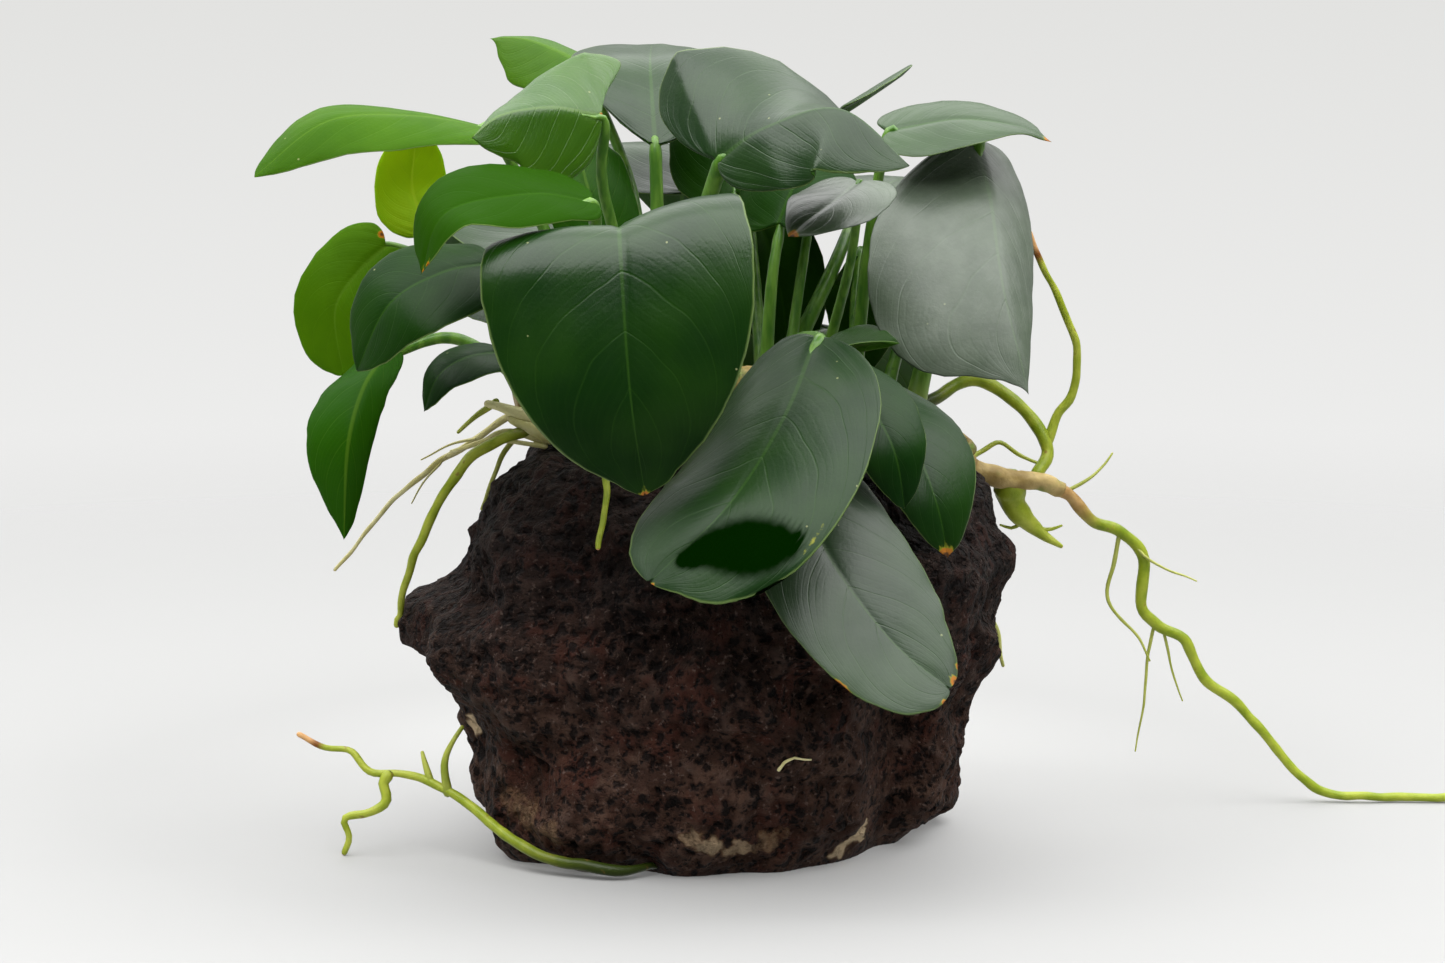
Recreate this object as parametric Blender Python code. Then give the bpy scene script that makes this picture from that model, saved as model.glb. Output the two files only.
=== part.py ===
"""A dwarf anubias grown over one porous lava stone, in metres with +Z up.

The origin is the middle of the stone's resting face. +X runs to the right and +Y to the back, as seen
from the side that the plant hangs over. Sizes in the tables are millimetres, scaled by MM.

A leaf is one solid: a thin blade laid along its midrib, joined to its stalk. Each blade is a half
outline mirrored about the midrib, whose halves fold and curl about it. The roots and the rhizome are
tapered tubes that keep clear of the stone by GAP.
"""

import math

import bmesh
import bpy
import numpy as np
from mathutils import Vector, noise
from mathutils.bvhtree import BVHTree

MM = 0.001
GAP = 0.3

# The stone, in millimetres.
STONE_CENTRE = np.array((1.0, -1.0, 27.0))
STONE_OUTLINE = (
    (0, 38.4), (18, 40.5), (28, 41.0), (36, 39.5), (50, 34.0), (68, 30.0), (90, 28.3),
    (112, 30.0), (129, 34.8), (145, 36.2), (157, 34.6), (165, 35.0), (173, 39.2), (180, 40.4),
    (188, 37.6), (195, 35.4), (206, 36.4), (216, 38.6), (228, 38.2), (248, 37.2), (270, 36.6),
    (292, 37.2), (310, 39.0), (323, 39.8), (334, 36.8), (344, 35.1), (352, 36.3),
)
STONE_DEPTH_FRONT = 35.0
STONE_DEPTH_BACK = 33.0
STONE_SQUARENESS = 2.35
STONE_GRID = 15
CREASE_X = 23.0
CREASE_WIDTH = 3.2
CREASE_DEPTH = 5.0
LUMP_SIZES = ((17.0, 3.0), (8.5, 2.6))
BIG_PITS = (
    ((-19.0, -33.0, 22.0), 4.2, 2.4), ((-24.0, -28.0, 12.0), 4.5, 2.6), ((-12.0, -36.0, 25.0), 3.4, 1.8),
    ((4.0, -36.0, 16.0), 4.0, 1.8), ((14.0, -34.0, 26.0), 3.6, 1.8), ((-6.0, -35.0, 8.0), 3.8, 1.8),
    ((-29.0, -22.0, 33.0), 3.8, 2.2), ((-2.0, -36.0, 37.0), 3.8, 2.0), ((-17.0, -29.0, 44.0), 4.0, 2.2),
    ((19.0, -31.0, 10.0), 3.8, 1.8), ((8.0, -32.0, 46.0), 4.2, 2.2), ((-33.0, -12.0, 14.0), 4.0, 2.0),
    ((35.0, -12.0, 32.0), 4.2, 2.2), ((37.0, 4.0, 20.0), 4.2, 2.2), ((38.0, 6.0, 40.0), 4.0, 2.0),
    ((-36.0, 4.0, 18.0), 4.4, 2.2), ((-37.0, 2.0, 36.0), 4.0, 2.0), ((-24.0, 22.0, 38.0), 4.0, 2.0),
    ((10.0, 33.0, 30.0), 4.6, 2.4), ((-14.0, 32.0, 16.0), 4.8, 2.4), ((30.0, 24.0, 14.0), 4.4, 2.2),
    ((-4.0, 33.0, 40.0), 4.0, 2.0), ((24.0, 27.0, 38.0), 4.2, 2.2), ((6.0, 33.0, 10.0), 4.0, 2.0),
)

# The plant, in millimetres.
BLADE_THICKNESS = 0.9
BIG_BLADE = 10.4
BIG_BLADE_ROWS = 7
BIG_BLADE_COLUMNS = 3
SMALL_BLADE_ROWS = 6
SMALL_BLADE_COLUMNS = 2
STALK_TAPER = 0.62
STALK_END = 0.16
TUBE_SPACING = 4.0
DENSE_SPACING = 0.5
STALK_SIDES = 5
STALK_SPACING = 11.0
ROOT_SIDES = 5
RHIZOME_SIDES = 8


def unit(vector):
    vector = np.asarray(vector, float)
    return vector / np.linalg.norm(vector)


def smooth_step(low, high, value):
    t = min(max((value - low) / (high - low), 0.0), 1.0)
    return t * t * (3.0 - 2.0 * t)


def smooth_path(points, spacing):
    """Points about `spacing` apart on a Catmull-Rom curve through the given ones."""
    points = [np.asarray(p, float) for p in points]
    padded = [2 * points[0] - points[1]] + points + [2 * points[-1] - points[-2]]
    path = []
    for a, b, c, d in zip(padded, padded[1:], padded[2:], padded[3:]):
        steps = max(1, round(float(np.linalg.norm(c - b)) / spacing))
        for i in range(steps):
            t = i / steps
            square = (2 * a - 5 * b + 4 * c - d) * t**2
            cube = (3 * b - a - 3 * c + d) * t**3
            path.append(0.5 * (2 * b + (c - a) * t + square + cube))
    path.append(points[-1])
    return np.array(path)


def clear_scene():
    for obj in list(bpy.data.objects):
        bpy.data.objects.remove(obj)


def make_material(name, colour, roughness):
    material = bpy.data.materials.new(name)
    material.use_nodes = True
    shader = material.node_tree.nodes["Principled BSDF"]
    shader.inputs["Base Color"].default_value = (*colour, 1.0)
    shader.inputs["Roughness"].default_value = roughness
    shader.inputs["Metallic"].default_value = 0.0
    material.diffuse_color = (*colour, 1.0)
    return material


def add_object(name, points, faces, material, flat=False):
    """A closed mesh object from points in millimetres, with its normals turned outwards."""
    mesh = bpy.data.meshes.new(name)
    mesh.from_pydata([tuple(float(c) * MM for c in p) for p in points], [], faces)
    shape = bmesh.new()
    shape.from_mesh(mesh)
    bmesh.ops.recalc_face_normals(shape, faces=shape.faces)
    shape.to_mesh(mesh)
    shape.free()
    mesh.materials.append(material)
    if not flat:
        mesh.shade_smooth()
    obj = bpy.data.objects.new(name, mesh)
    bpy.context.scene.collection.objects.link(obj)
    return obj


# ---------------------------------------------------------------- the stone


def outline_radius(angle):
    """The stone's reach from its centre in the plane of its front view, by angle in degrees."""
    angles = [a for a, _ in STONE_OUTLINE]
    radii = [r for _, r in STONE_OUTLINE]
    return float(np.interp(angle % 360.0, angles + [360], radii + radii[:1]))


def stone_point(direction):
    """Where the stone's surface lies in this direction from its centre."""
    x, y, z = direction
    across = math.hypot(x, z)
    reach = outline_radius(math.degrees(math.atan2(z, x)))
    depth = STONE_DEPTH_FRONT if y < 0 else STONE_DEPTH_BACK
    squareness = STONE_SQUARENESS
    radius = ((across / reach) ** squareness + (abs(y) / depth) ** squareness) ** (-1 / squareness)
    point = STONE_CENTRE + radius * np.asarray(direction)
    for number, (size, height) in enumerate(LUMP_SIZES):
        offset = Vector((7.3 * number, 3.1, 1.7))
        radius += height * noise.noise(Vector(point / size) + offset)
    point = STONE_CENTRE + radius * np.asarray(direction)
    if point[1] < 0:
        low = smooth_step(34.0, 16.0, point[2])
        point[1] *= 1.0 - 0.34 * smooth_step(20.0, 27.0, point[0]) * low
        groove = math.exp(-(((point[0] - CREASE_X) / CREASE_WIDTH) ** 2))
        point[1] += CREASE_DEPTH * groove * low * smooth_step(-6.0, -20.0, point[1])
    for place, size, depth in BIG_PITS:
        away = float(np.linalg.norm(point - np.array(place)))
        point = point - unit(point - STONE_CENTRE) * depth * math.exp(-((away / size) ** 2))
    point[2] = max(point[2], 0.0)
    return point


def make_stone(material):
    """A cube's surface in STONE_GRID squares a side, pushed out to the stone's surface."""
    shape = bmesh.new()
    bmesh.ops.create_cube(shape, size=2.0)
    bmesh.ops.subdivide_edges(shape, edges=shape.edges, cuts=STONE_GRID - 1, use_grid_fill=True)
    bmesh.ops.triangulate(shape, faces=shape.faces)
    for corner in shape.verts:
        even = [math.tan(c * math.pi / 4) for c in corner.co]
        corner.co = Vector(stone_point(unit(even)))
    points = [corner.co.copy() for corner in shape.verts]
    faces = [[corner.index for corner in face.verts] for face in shape.faces]
    shape.free()
    return add_object("stone", points, faces, material, flat=True)


# ---------------------------------------------------------------- tubes


def tube_mesh(path, radii, sides):
    """Points and faces of a tube along the path, closed by a face at each end."""
    points = []
    faces = []
    side = unit(np.cross(path[1] - path[0], (0.31, 0.53, 0.79)))
    for i, centre in enumerate(path):
        ahead = unit(path[min(i + 1, len(path) - 1)] - path[max(i - 1, 0)])
        side = unit(side - ahead * side.dot(ahead))
        up = np.cross(ahead, side)
        for k in range(sides):
            turn = 2 * math.pi * k / sides
            points.append(centre + radii[i] * (math.cos(turn) * side + math.sin(turn) * up))
    for i in range(len(path) - 1):
        for k in range(sides):
            low, low_next = i * sides + k, i * sides + (k + 1) % sides
            faces.append([low, low_next, low_next + sides, low + sides])
    faces.append(list(range(sides))[::-1])
    faces.append([(len(path) - 1) * sides + k for k in range(sides)])
    return points, faces


def tapered(count, thick, thin):
    return [thick + (thin - thick) * i / (count - 1) for i in range(count)]


def off_the_stone(path, radii, stone_tree):
    """The path, moved out where the tube would come nearer to the stone or the floor than GAP."""
    moved = []
    for centre, radius in zip(path, radii):
        for _ in range(3):
            near, normal, _, distance = stone_tree.find_nearest(Vector(centre))
            inside = normal.dot(Vector(centre) - near) < 0
            depth = -distance if inside else distance
            if depth < radius + GAP + 0.25:
                centre = np.array(near + normal * (radius + GAP + 0.3))
        moved.append(np.array((centre[0], centre[1], max(centre[2], radius + 0.05))))
    return np.array(moved)


def past_the_trunk(path, trunks):
    """The path from its last point inside a trunk on, for trunks given as (centre line, reach)."""
    start = 0
    for i, point in enumerate(path):
        for line, reach in trunks:
            if np.linalg.norm(line - point, axis=1).min() < reach:
                start = i + 1
    return path[start:]


def thinned(path, spacing):
    """Points about `spacing` apart along a dense path, with both of its ends."""
    along = np.concatenate(([0.0], np.cumsum(np.linalg.norm(np.diff(path, axis=0), axis=1))))
    stops = np.linspace(0.0, along[-1], max(2, round(along[-1] / spacing) + 1))
    return np.stack([np.interp(stops, along, path[:, k]) for k in range(3)], axis=1)


# ---------------------------------------------------------------- leaves


def half_outline(u, broad, lobe, blunt):
    """(along, across) on the margin of one half, from the notch at u=0 to the tip at u=1.

    Both are fractions: along of the midrib's length and across of the half's width. The half is
    widest at `broad`, reaches back by about `lobe`, and ends in a rounder tip as `blunt` nears 1.
    """
    if u < 0.5:
        t = 2 * u
        ends = ((0.0, 0.0), (-2.2 * lobe, 0.5), (broad - 0.36, 1.0), (broad, 1.0))
    else:
        t = 2 * u - 1
        ends = ((broad, 1.0), (broad + 0.36, 1.0), (0.8 + 0.3 * blunt, 0.1 + 0.5 * blunt), (1.0, 0.0))
    weights = ((1 - t) ** 3, 3 * t * (1 - t) ** 2, 3 * t * t * (1 - t), t**3)
    along = sum(weight * end[0] for weight, end in zip(weights, ends))
    across = sum(weight * end[1] for weight, end in zip(weights, ends))
    return along, across


def bent(across, fold, curl):
    """Where a strip of length `across` ends that leaves at the angle `fold` and turns by `curl` a unit."""
    start = math.radians(fold)
    turn = math.radians(curl)
    if abs(turn) < 1e-4:
        return across * math.cos(start), across * math.sin(start)
    end = start + turn * across
    return (math.sin(end) - math.sin(start)) / turn, (math.cos(start) - math.cos(end)) / turn


class Blade:
    """A leaf's surface over (u, v): u from notch to tip along the margin, v from -1 to 1 across."""

    def __init__(self, leaf):
        self.leaf = leaf
        self.path = smooth_path(leaf["midrib"], 0.4)
        steps = np.linalg.norm(np.diff(self.path, axis=0), axis=1)
        self.along = np.concatenate(([0.0], np.cumsum(steps)))
        self.length = float(self.along[-1])

    def on_midrib(self, s):
        """(point, direction, face normal) at the fraction s, straight on beyond both ends."""
        place = min(max(s, 0.0), 1.0) * self.length
        point = np.array([np.interp(place, self.along, self.path[:, k]) for k in range(3)])
        before = np.array([np.interp(place - 0.6, self.along, self.path[:, k]) for k in range(3)])
        after = np.array([np.interp(place + 0.6, self.along, self.path[:, k]) for k in range(3)])
        ahead = unit(after - before)
        point = point + ahead * (s - min(max(s, 0.0), 1.0)) * self.length
        share = min(max(s, 0.0), 1.0)
        face = (1 - share) * unit(self.leaf["face"][0]) + share * unit(self.leaf["face"][1])
        return point, ahead, unit(face - ahead * face.dot(ahead))

    def point(self, u, v):
        leaf = self.leaf
        right = v > 0
        along, across = half_outline(u, leaf["broad"][right], leaf["lobe"][right], leaf["blunt"][right])
        rib = u**2.2
        share = abs(v)
        s = rib + (along - rib) * share**1.5
        across = across * share
        width = leaf["halves"][right]
        tipwards = min(max(s, 0.0), 1.0)
        fold = (1 - tipwards) * leaf["fold"][right] + tipwards * leaf["tip_fold"][right]
        out, up = bent(across, fold, leaf["curl"][right])
        up += leaf["wave"] / width * math.sin(9.5 * s + (2.0 if right else 0.0)) * across**2
        centre, ahead, face = self.on_midrib(s)
        side = np.cross(ahead, face) if right else np.cross(face, ahead)
        return centre + width * (out * side + up * face)

    def normal(self, u, v):
        u = min(max(u, 0.03), 0.97)
        across = self.point(u, min(v + 0.03, 1.0)) - self.point(u, max(v - 0.03, -1.0))
        along = self.point(u + 0.02, v) - self.point(u - 0.02, v)
        return unit(np.cross(across, along))


def blade_mesh(blade, rows, columns, thickness):
    """A lens-like shell: an upper and a lower sheet that share the margin, the notch and the tip."""
    shares = [k / columns for k in range(-columns, columns + 1)]
    points = [blade.point(0.0, 0.0), blade.point(1.0, 0.0)]
    top = []
    under = []
    for row in range(1, rows):
        u = row / rows
        top.append([])
        under.append([])
        for v in shares:
            surface = blade.point(u, v)
            half = 0.5 * thickness * (1 - v * v) * min(1.0, 4 * u, 5 * (1 - u))
            if abs(v) == 1:
                points.append(surface)
                top[-1].append(len(points) - 1)
                under[-1].append(len(points) - 1)
                continue
            lift = blade.normal(u, v) * half
            points.append(surface + lift)
            top[-1].append(len(points) - 1)
            points.append(surface - lift)
            under[-1].append(len(points) - 1)
    faces = []
    for sheet, turned in ((top, False), (under, True)):
        found = [[0, sheet[0][k], sheet[0][k + 1]] for k in range(len(shares) - 1)]
        found += [[1, sheet[-1][k + 1], sheet[-1][k]] for k in range(len(shares) - 1)]
        for near, far in zip(sheet, sheet[1:]):
            for k in range(len(shares) - 1):
                found.append([near[k], far[k], near[k + 1]])
                found.append([near[k + 1], far[k], far[k + 1]])
        faces += [face[::-1] for face in found] if turned else found
    return points, faces


def pair(value):
    return value if isinstance(value, tuple) else (value, value)


def leaf(name, tone, midrib, face, halves, stalk, thick=1.0, broad=0.32, lobe=0.07, blunt=0.45,
         fold=4, tip_fold=None, curl=-18, wave=0.0):
    """One leaf's measures in millimetres and degrees.

    midrib: from the notch to the tip. face: the upper face's direction at both ends. halves: the
    widths of the left and the right half, seen from above with the tip ahead. broad, lobe, blunt,
    fold, tip_fold and curl: one value, or the left and the right half's. fold and curl are positive
    upwards, and fold turns into tip_fold towards the tip.
    stalk: points from the rhizome up to, but without, the notch. thick: its radius at the rhizome.
    """
    if tip_fold is None:
        tip_fold = fold
    return dict(name=name, tone=tone, midrib=midrib, face=face, halves=halves, stalk=stalk, thick=thick,
                broad=pair(broad), lobe=pair(lobe), blunt=pair(blunt), fold=pair(fold),
                tip_fold=pair(tip_fold), curl=pair(curl), wave=wave)


LEAVES = (
    # The leaves over the front, from the nearest one back.
    leaf("leaf_front_heart", "mature",
         midrib=((-10.5, -34.5, 81), (-10.2, -40, 83.4), (-9.8, -45, 79), (-8.7, -47.5, 64), (-7, -45, 51.2)),
         face=((0, 0.1, 1), (-0.05, -1, -0.1)), halves=(16.3, 17.3), broad=0.36, lobe=(0.11, 0.08),
         fold=(30, 4), tip_fold=6, curl=-24, stalk=((-9, -5, 60), (-10, -17, 76)), thick=1.3),
    leaf("leaf_upper_left", "mature",
         midrib=((-13.8, -28.5, 86), (-21, -34.5, 87.2), (-31, -39, 85.4), (-34.4, -40, 77.8)),
         face=((0.1, -0.5, 0.86), (-0.9, -0.45, 0.2)), halves=(7.5, 10.5), broad=(0.45, 0.35),
         lobe=(0.0, 0.06), fold=(8, 4), stalk=((-13, -5, 60), (-14, -16, 76)), thick=1.2),
    leaf("leaf_lower_middle", "mature",
         midrib=((14.3, -27, 69), (10.1, -37, 60), (3.3, -45, 50), (-6.3, -47, 41)),
         face=((-0.3, -0.7, 0.6), (-0.3, -0.8, 0.45)), halves=(13.3, 13.6), broad=(0.55, 0.52),
         lobe=(0.0, 0.04), blunt=(0.55, 0.8), fold=(4, 0), curl=(-16, -46),
         stalk=((11, 0, 60), (12, -13, 67)), thick=1.2),
    leaf("leaf_lower_right", "mature",
         midrib=((11, -31, 53), (15.7, -39, 42.5), (22.9, -44, 33.2), (30.1, -46, 27.6)),
         face=((0.2, -0.8, 0.5), (0.2, -0.8, 0.55)), halves=(10.3, 9.8), broad=(0.45, 0.5), blunt=(0.7, 0.95),
         fold=8, stalk=((18, 1, 59), (14, -16, 63), (11, -27, 58)), thick=1.1),
    leaf("leaf_right_dark", "mature",
         midrib=((17, -25, 65), (20.3, -30, 61.5), (23.7, -33.5, 55.5), (25.2, -33, 48)),
         face=((0.25, -0.7, 0.7), (0.25, -0.95, 0.2)), halves=(6, 6.5), stalk=((21, 2, 58), (18, -16, 66))),
    leaf("leaf_right_small", "mature",
         midrib=((21.4, -18, 60.5), (26.3, -24, 55.5), (29.3, -27.5, 48.5), (31, -27.5, 41)),
         face=((0.3, -0.6, 0.7), (0.3, -0.95, 0.2)), halves=(8.3, 6.5), stalk=((26, 4, 56), (22, -10, 62))),
    leaf("leaf_edge_right", "mature",
         midrib=((16.5, -10, 65.4), (21, -12, 66.6), (25.5, -14, 67.2)),
         face=((-0.3, -0.2, 0.97), (-0.2, -0.1, 0.97)), halves=(5, 5), fold=30, blunt=0.2,
         stalk=((16, 1, 59), (15.5, -3, 63)), thick=0.8),
    leaf("leaf_grey_right", "mature",
         midrib=((36.5, 6, 93), (38, -2, 85.3), (39.2, -10, 73.9), (42.2, -15, 60.6)),
         face=((-0.1, -0.75, 0.65), (-0.1, -0.9, 0.4)), halves=(6.5, 17.5), broad=(0.32, 0.58), lobe=0.0,
         blunt=0.2, fold=(-30, 6), curl=(-20, -14), stalk=((28, 5, 55), (33, 8, 76)), thick=1.3),
    leaf("leaf_wavy_top", "mature",
         midrib=((1.8, -23, 91), (8, -26, 95.4), (17, -29, 97.6), (25.6, -32, 90.8)),
         face=((-0.1, -0.75, 0.65), (0.2, -0.5, 0.8)), halves=(19, 10), broad=(0.14, 0.5),
         lobe=(0.13, 0.02), blunt=(0.15, 0.5), fold=(14, -4), tip_fold=(-90, -20), curl=(-16, -16), wave=0.2,
         stalk=((-2, -3, 60), (-1.5, -14, 77)), thick=1.5),
    leaf("leaf_small_under", "mature",
         midrib=((20, -13, 88), (17, -19, 86), (13.6, -23, 83.7), (10.7, -25, 81.6)),
         face=((-0.2, -0.6, 0.8), (-0.3, -0.7, 0.6)), halves=(6.5, 6.5), stalk=((15, 1, 60), (19, -6, 76)),
         thick=0.8),
    leaf("leaf_hooked_right", "mature",
         midrib=((24.8, 2, 94.2), (33.5, 1.5, 95.8), (41.5, -0.5, 94.9), (46, -3, 93)),
         face=((0, -0.45, 0.9), (0.5, -0.4, 0.75)), halves=(7.2, 7.6), blunt=0.1,
         stalk=((20, 3, 58), (22, 4, 78))),
    leaf("leaf_folded_top_left", "fresh",
         midrib=((-13.1, -15, 96.6), (-19.1, -19, 97.8), (-25.5, -22, 96.8), (-29.3, -24, 94)),
         face=((0, -0.2, 1), (-0.3, -0.2, 0.9)), halves=(10, 12), fold=(-72, 42), tip_fold=(-72, 0),
         curl=-10, broad=(0.42, -0.18), lobe=(0.0, 0.02), blunt=(0.6, -0.25),
         stalk=((-7, -3, 60), (-10.5, -8, 76), (-13.2, -12, 88))),
    leaf("leaf_grey_left", "mature",
         midrib=((-27.6, -22, 77.9), (-33.3, -25, 76.8), (-39.6, -26, 73.1), (-44.1, -24, 64.5)),
         face=((0, -0.45, 0.9), (-0.6, -0.7, 0.3)), halves=(9, 9), stalk=((-17, -4, 60), (-22, -13, 71))),
    leaf("leaf_far_left", "fresh",
         midrib=((-28.3, 0, 94.6), (-37.5, -4, 96.4), (-48.8, -9, 95.8), (-58.4, -12, 88.8)),
         face=((0, -0.25, 0.97), (-0.5, -0.8, 0.3)), halves=(7.5, 7), broad=0.42, fold=(0, -12),
         stalk=((-15, -3, 60), (-21, 1, 80))),
    leaf("leaf_hanging_left", "fresh",
         midrib=((-42.3, -8, 65.1), (-44.6, -13, 61.1), (-46.3, -16, 53.6), (-47.2, -14, 41.4)),
         face=((-0.2, -0.6, 0.75), (0, -0.95, -0.2)), halves=(3.4, 8.2), fold=-22, curl=-10,
         blunt=(0.6, 0.3), stalk=((-22, -5, 60), (-33, -4, 67))),
    leaf("leaf_dark_left", "mature",
         midrib=((-27, -9, 65.5), (-31, -13, 65.2), (-34.4, -15, 63), (-36.4, -15.5, 58.4)),
         face=((0, -0.4, 0.9), (-0.8, -0.5, 0.3)), halves=(5.8, 5), broad=0.28,
         stalk=((-20, -5, 60), (-24, -7, 64)), thick=0.7),
    leaf("leaf_round_left", "fresh",
         midrib=((-43.3, 7, 78.7), (-47, 6, 75.2), (-50, 5, 70), (-49, 4.5, 61.4)),
         face=((-0.3, -0.9, 0.3), (-0.3, -1, 0)), halves=(7, 7), blunt=0.8,
         stalk=((-19, -4, 60), (-32, 7, 74)), thick=0.8),
    leaf("leaf_young_left", "young",
         midrib=((-38, 10, 80.9), (-40, 11.5, 86), (-39.8, 11.5, 90.6), (-39, 11, 94.7)),
         face=((0.4, -0.8, 0.2), (0.4, -0.8, 0.1)), halves=(5.6, 5.6), blunt=0.7,
         stalk=((-16, -4, 60), (-29, 10, 73)), thick=0.7),
    # The leaves over the top.
    leaf("leaf_top_back_left", "fresh",
         midrib=((-17, 15.5, 103.3), (-20.5, 18.5, 105), (-25.2, 22, 106.6), (-30.2, 25, 106.8)),
         face=((0, -0.2, 0.95), (-0.2, -0.3, 0.95)), halves=(7, 6), fold=(-35, -10), broad=0.45, blunt=0.2,
         stalk=((-9, -2, 60), (-9.5, 10, 84))),
    leaf("leaf_top_middle", "mature",
         midrib=((-6.5, -3, 92.6), (-7, 2, 98.5), (-7.4, 9, 103.4), (-7.4, 20, 106)),
         face=((0, -0.7, 0.7), (0, -0.1, 1)), halves=(11, 10), broad=(0.8, 0.62), lobe=(-0.06, 0.0),
         stalk=((-5, -2, 60), (-6, -4, 77)), thick=1.2),
    leaf("leaf_thin_back_right", "mature",
         midrib=((19, 24, 97), (24, 27, 99.8), (29.3, 31, 103)),
         face=((-0.55, 0.05, 0.83), (-0.55, 0.05, 0.83)), halves=(6, 6),
         stalk=((11, 7, 60), (14, 12, 80), (16, 18, 91)), thick=0.8),
    # The leaves at the back and between the others.
    leaf("leaf_back_middle", "mature",
         midrib=((0, 21, 86), (-1, 32, 91), (-3, 43, 88), (-4, 51, 79)),
         face=((0, 0.4, 0.9), (0, 0.9, 0.4)), halves=(14, 14), stalk=((0, 8, 60), (0, 13, 76)), thick=1.3),
    leaf("leaf_back_right", "mature",
         midrib=((21, 20, 83), (28, 29, 87), (35, 37, 84), (39, 42, 75)),
         face=((0.3, 0.3, 0.9), (0.6, 0.7, 0.4)), halves=(12.5, 12),
         stalk=((10, 9, 60), (17, 13, 74)), thick=1.2),
    leaf("leaf_back_left", "mature",
         midrib=((-21, 19, 79), (-27, 29, 83), (-33, 38, 80), (-37, 44, 71)),
         face=((-0.3, 0.3, 0.9), (-0.5, 0.7, 0.4)), halves=(12, 12),
         stalk=((-9, 11, 60), (-17, 14, 72)), thick=1.2),
    leaf("leaf_back_low_right", "mature",
         midrib=((18, 25, 66), (21, 34, 64), (24, 40, 55), (25, 41, 44)),
         face=((0.3, 0.5, 0.8), (0.3, 0.9, 0.1)), halves=(10, 10),
         stalk=((12, 10, 60), (15, 18, 65)), thick=1.1),
    leaf("leaf_back_low_middle", "mature",
         midrib=((0, 27, 68), (0, 38, 65), (-1, 43, 55), (-2, 43, 42)),
         face=((0, 0.6, 0.8), (0, 1, 0)), halves=(11.5, 11.5), stalk=((2, 10, 60), (2, 18, 67)), thick=1.2),
    leaf("leaf_back_low_left", "fresh",
         midrib=((-14, 24, 64), (-18, 33, 62), (-20, 38, 55), (-21, 39, 45)),
         face=((-0.2, 0.6, 0.8), (-0.3, 0.95, 0.1)), halves=(9, 9), stalk=((-8, 12, 60), (-12, 17, 64))),
    leaf("leaf_right_back", "mature",
         midrib=((30, 15, 76), (36, 21, 78), (41, 26, 73), (43, 29, 65)),
         face=((0.3, 0.2, 0.9), (0.9, 0.3, 0.3)), halves=(9.5, 9.5), stalk=((24, 4, 57), (28, 11, 70))),
    leaf("leaf_left_back", "mature",
         midrib=((-23, 14, 69), (-30, 19.5, 73), (-36, 23.5, 72), (-40, 25.5, 66)),
         face=((-0.3, 0, 0.95), (-0.8, 0.3, 0.4)), halves=(8, 8),
         stalk=((-20.5, -4.5, 60), (-20.5, 4.5, 62.5))),
    leaf("leaf_inner_left", "fresh",
         midrib=((-13.5, 1, 79), (-15.5, 3.5, 86), (-17, 8, 91), (-18, 14, 94)),
         face=((-0.3, -0.7, 0.6), (-0.2, -0.3, 0.9)), halves=(6, 6), stalk=((-11, -3, 60), (-12, -1, 70))),
    leaf("leaf_inner_back", "mature",
         midrib=((4, 13, 86), (5, 18, 94), (7, 26, 99), (10, 34, 98)),
         face=((0, -0.5, 0.8), (0.2, 0.3, 0.9)), halves=(10, 10), stalk=((4, 1, 60), (4, 8, 74)), thick=1.1),
    leaf("leaf_inner_right", "mature",
         midrib=((10, 3, 82), (13, 7, 88), (18, 10, 91), (24, 11, 89)),
         face=((-0.4, -0.5, 0.7), (0.2, -0.3, 0.9)), halves=(9, 9), stalk=((8, 0, 60), (9, 1, 74))),
    leaf("leaf_inner_low", "mature",
         midrib=((7, 20, 82), (9, 22.5, 77), (11, 23.5, 69), (11.5, 23.5, 60)),
         face=((0.1, -0.7, 0.7), (0, -1, 0)), halves=(7.5, 7.5), stalk=((8, 7.5, 60), (7, 14, 72))),
    leaf("leaf_inner_deep", "mature",
         midrib=((22, 14.5, 77), (22.4, 17, 73), (22.6, 18.5, 67), (22.6, 18.5, 60)),
         face=((0.1, -0.7, 0.7), (0, -1, 0)), halves=(5, 6), stalk=((21, 3.5, 58), (20.5, 8.5, 68))),
)

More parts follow.
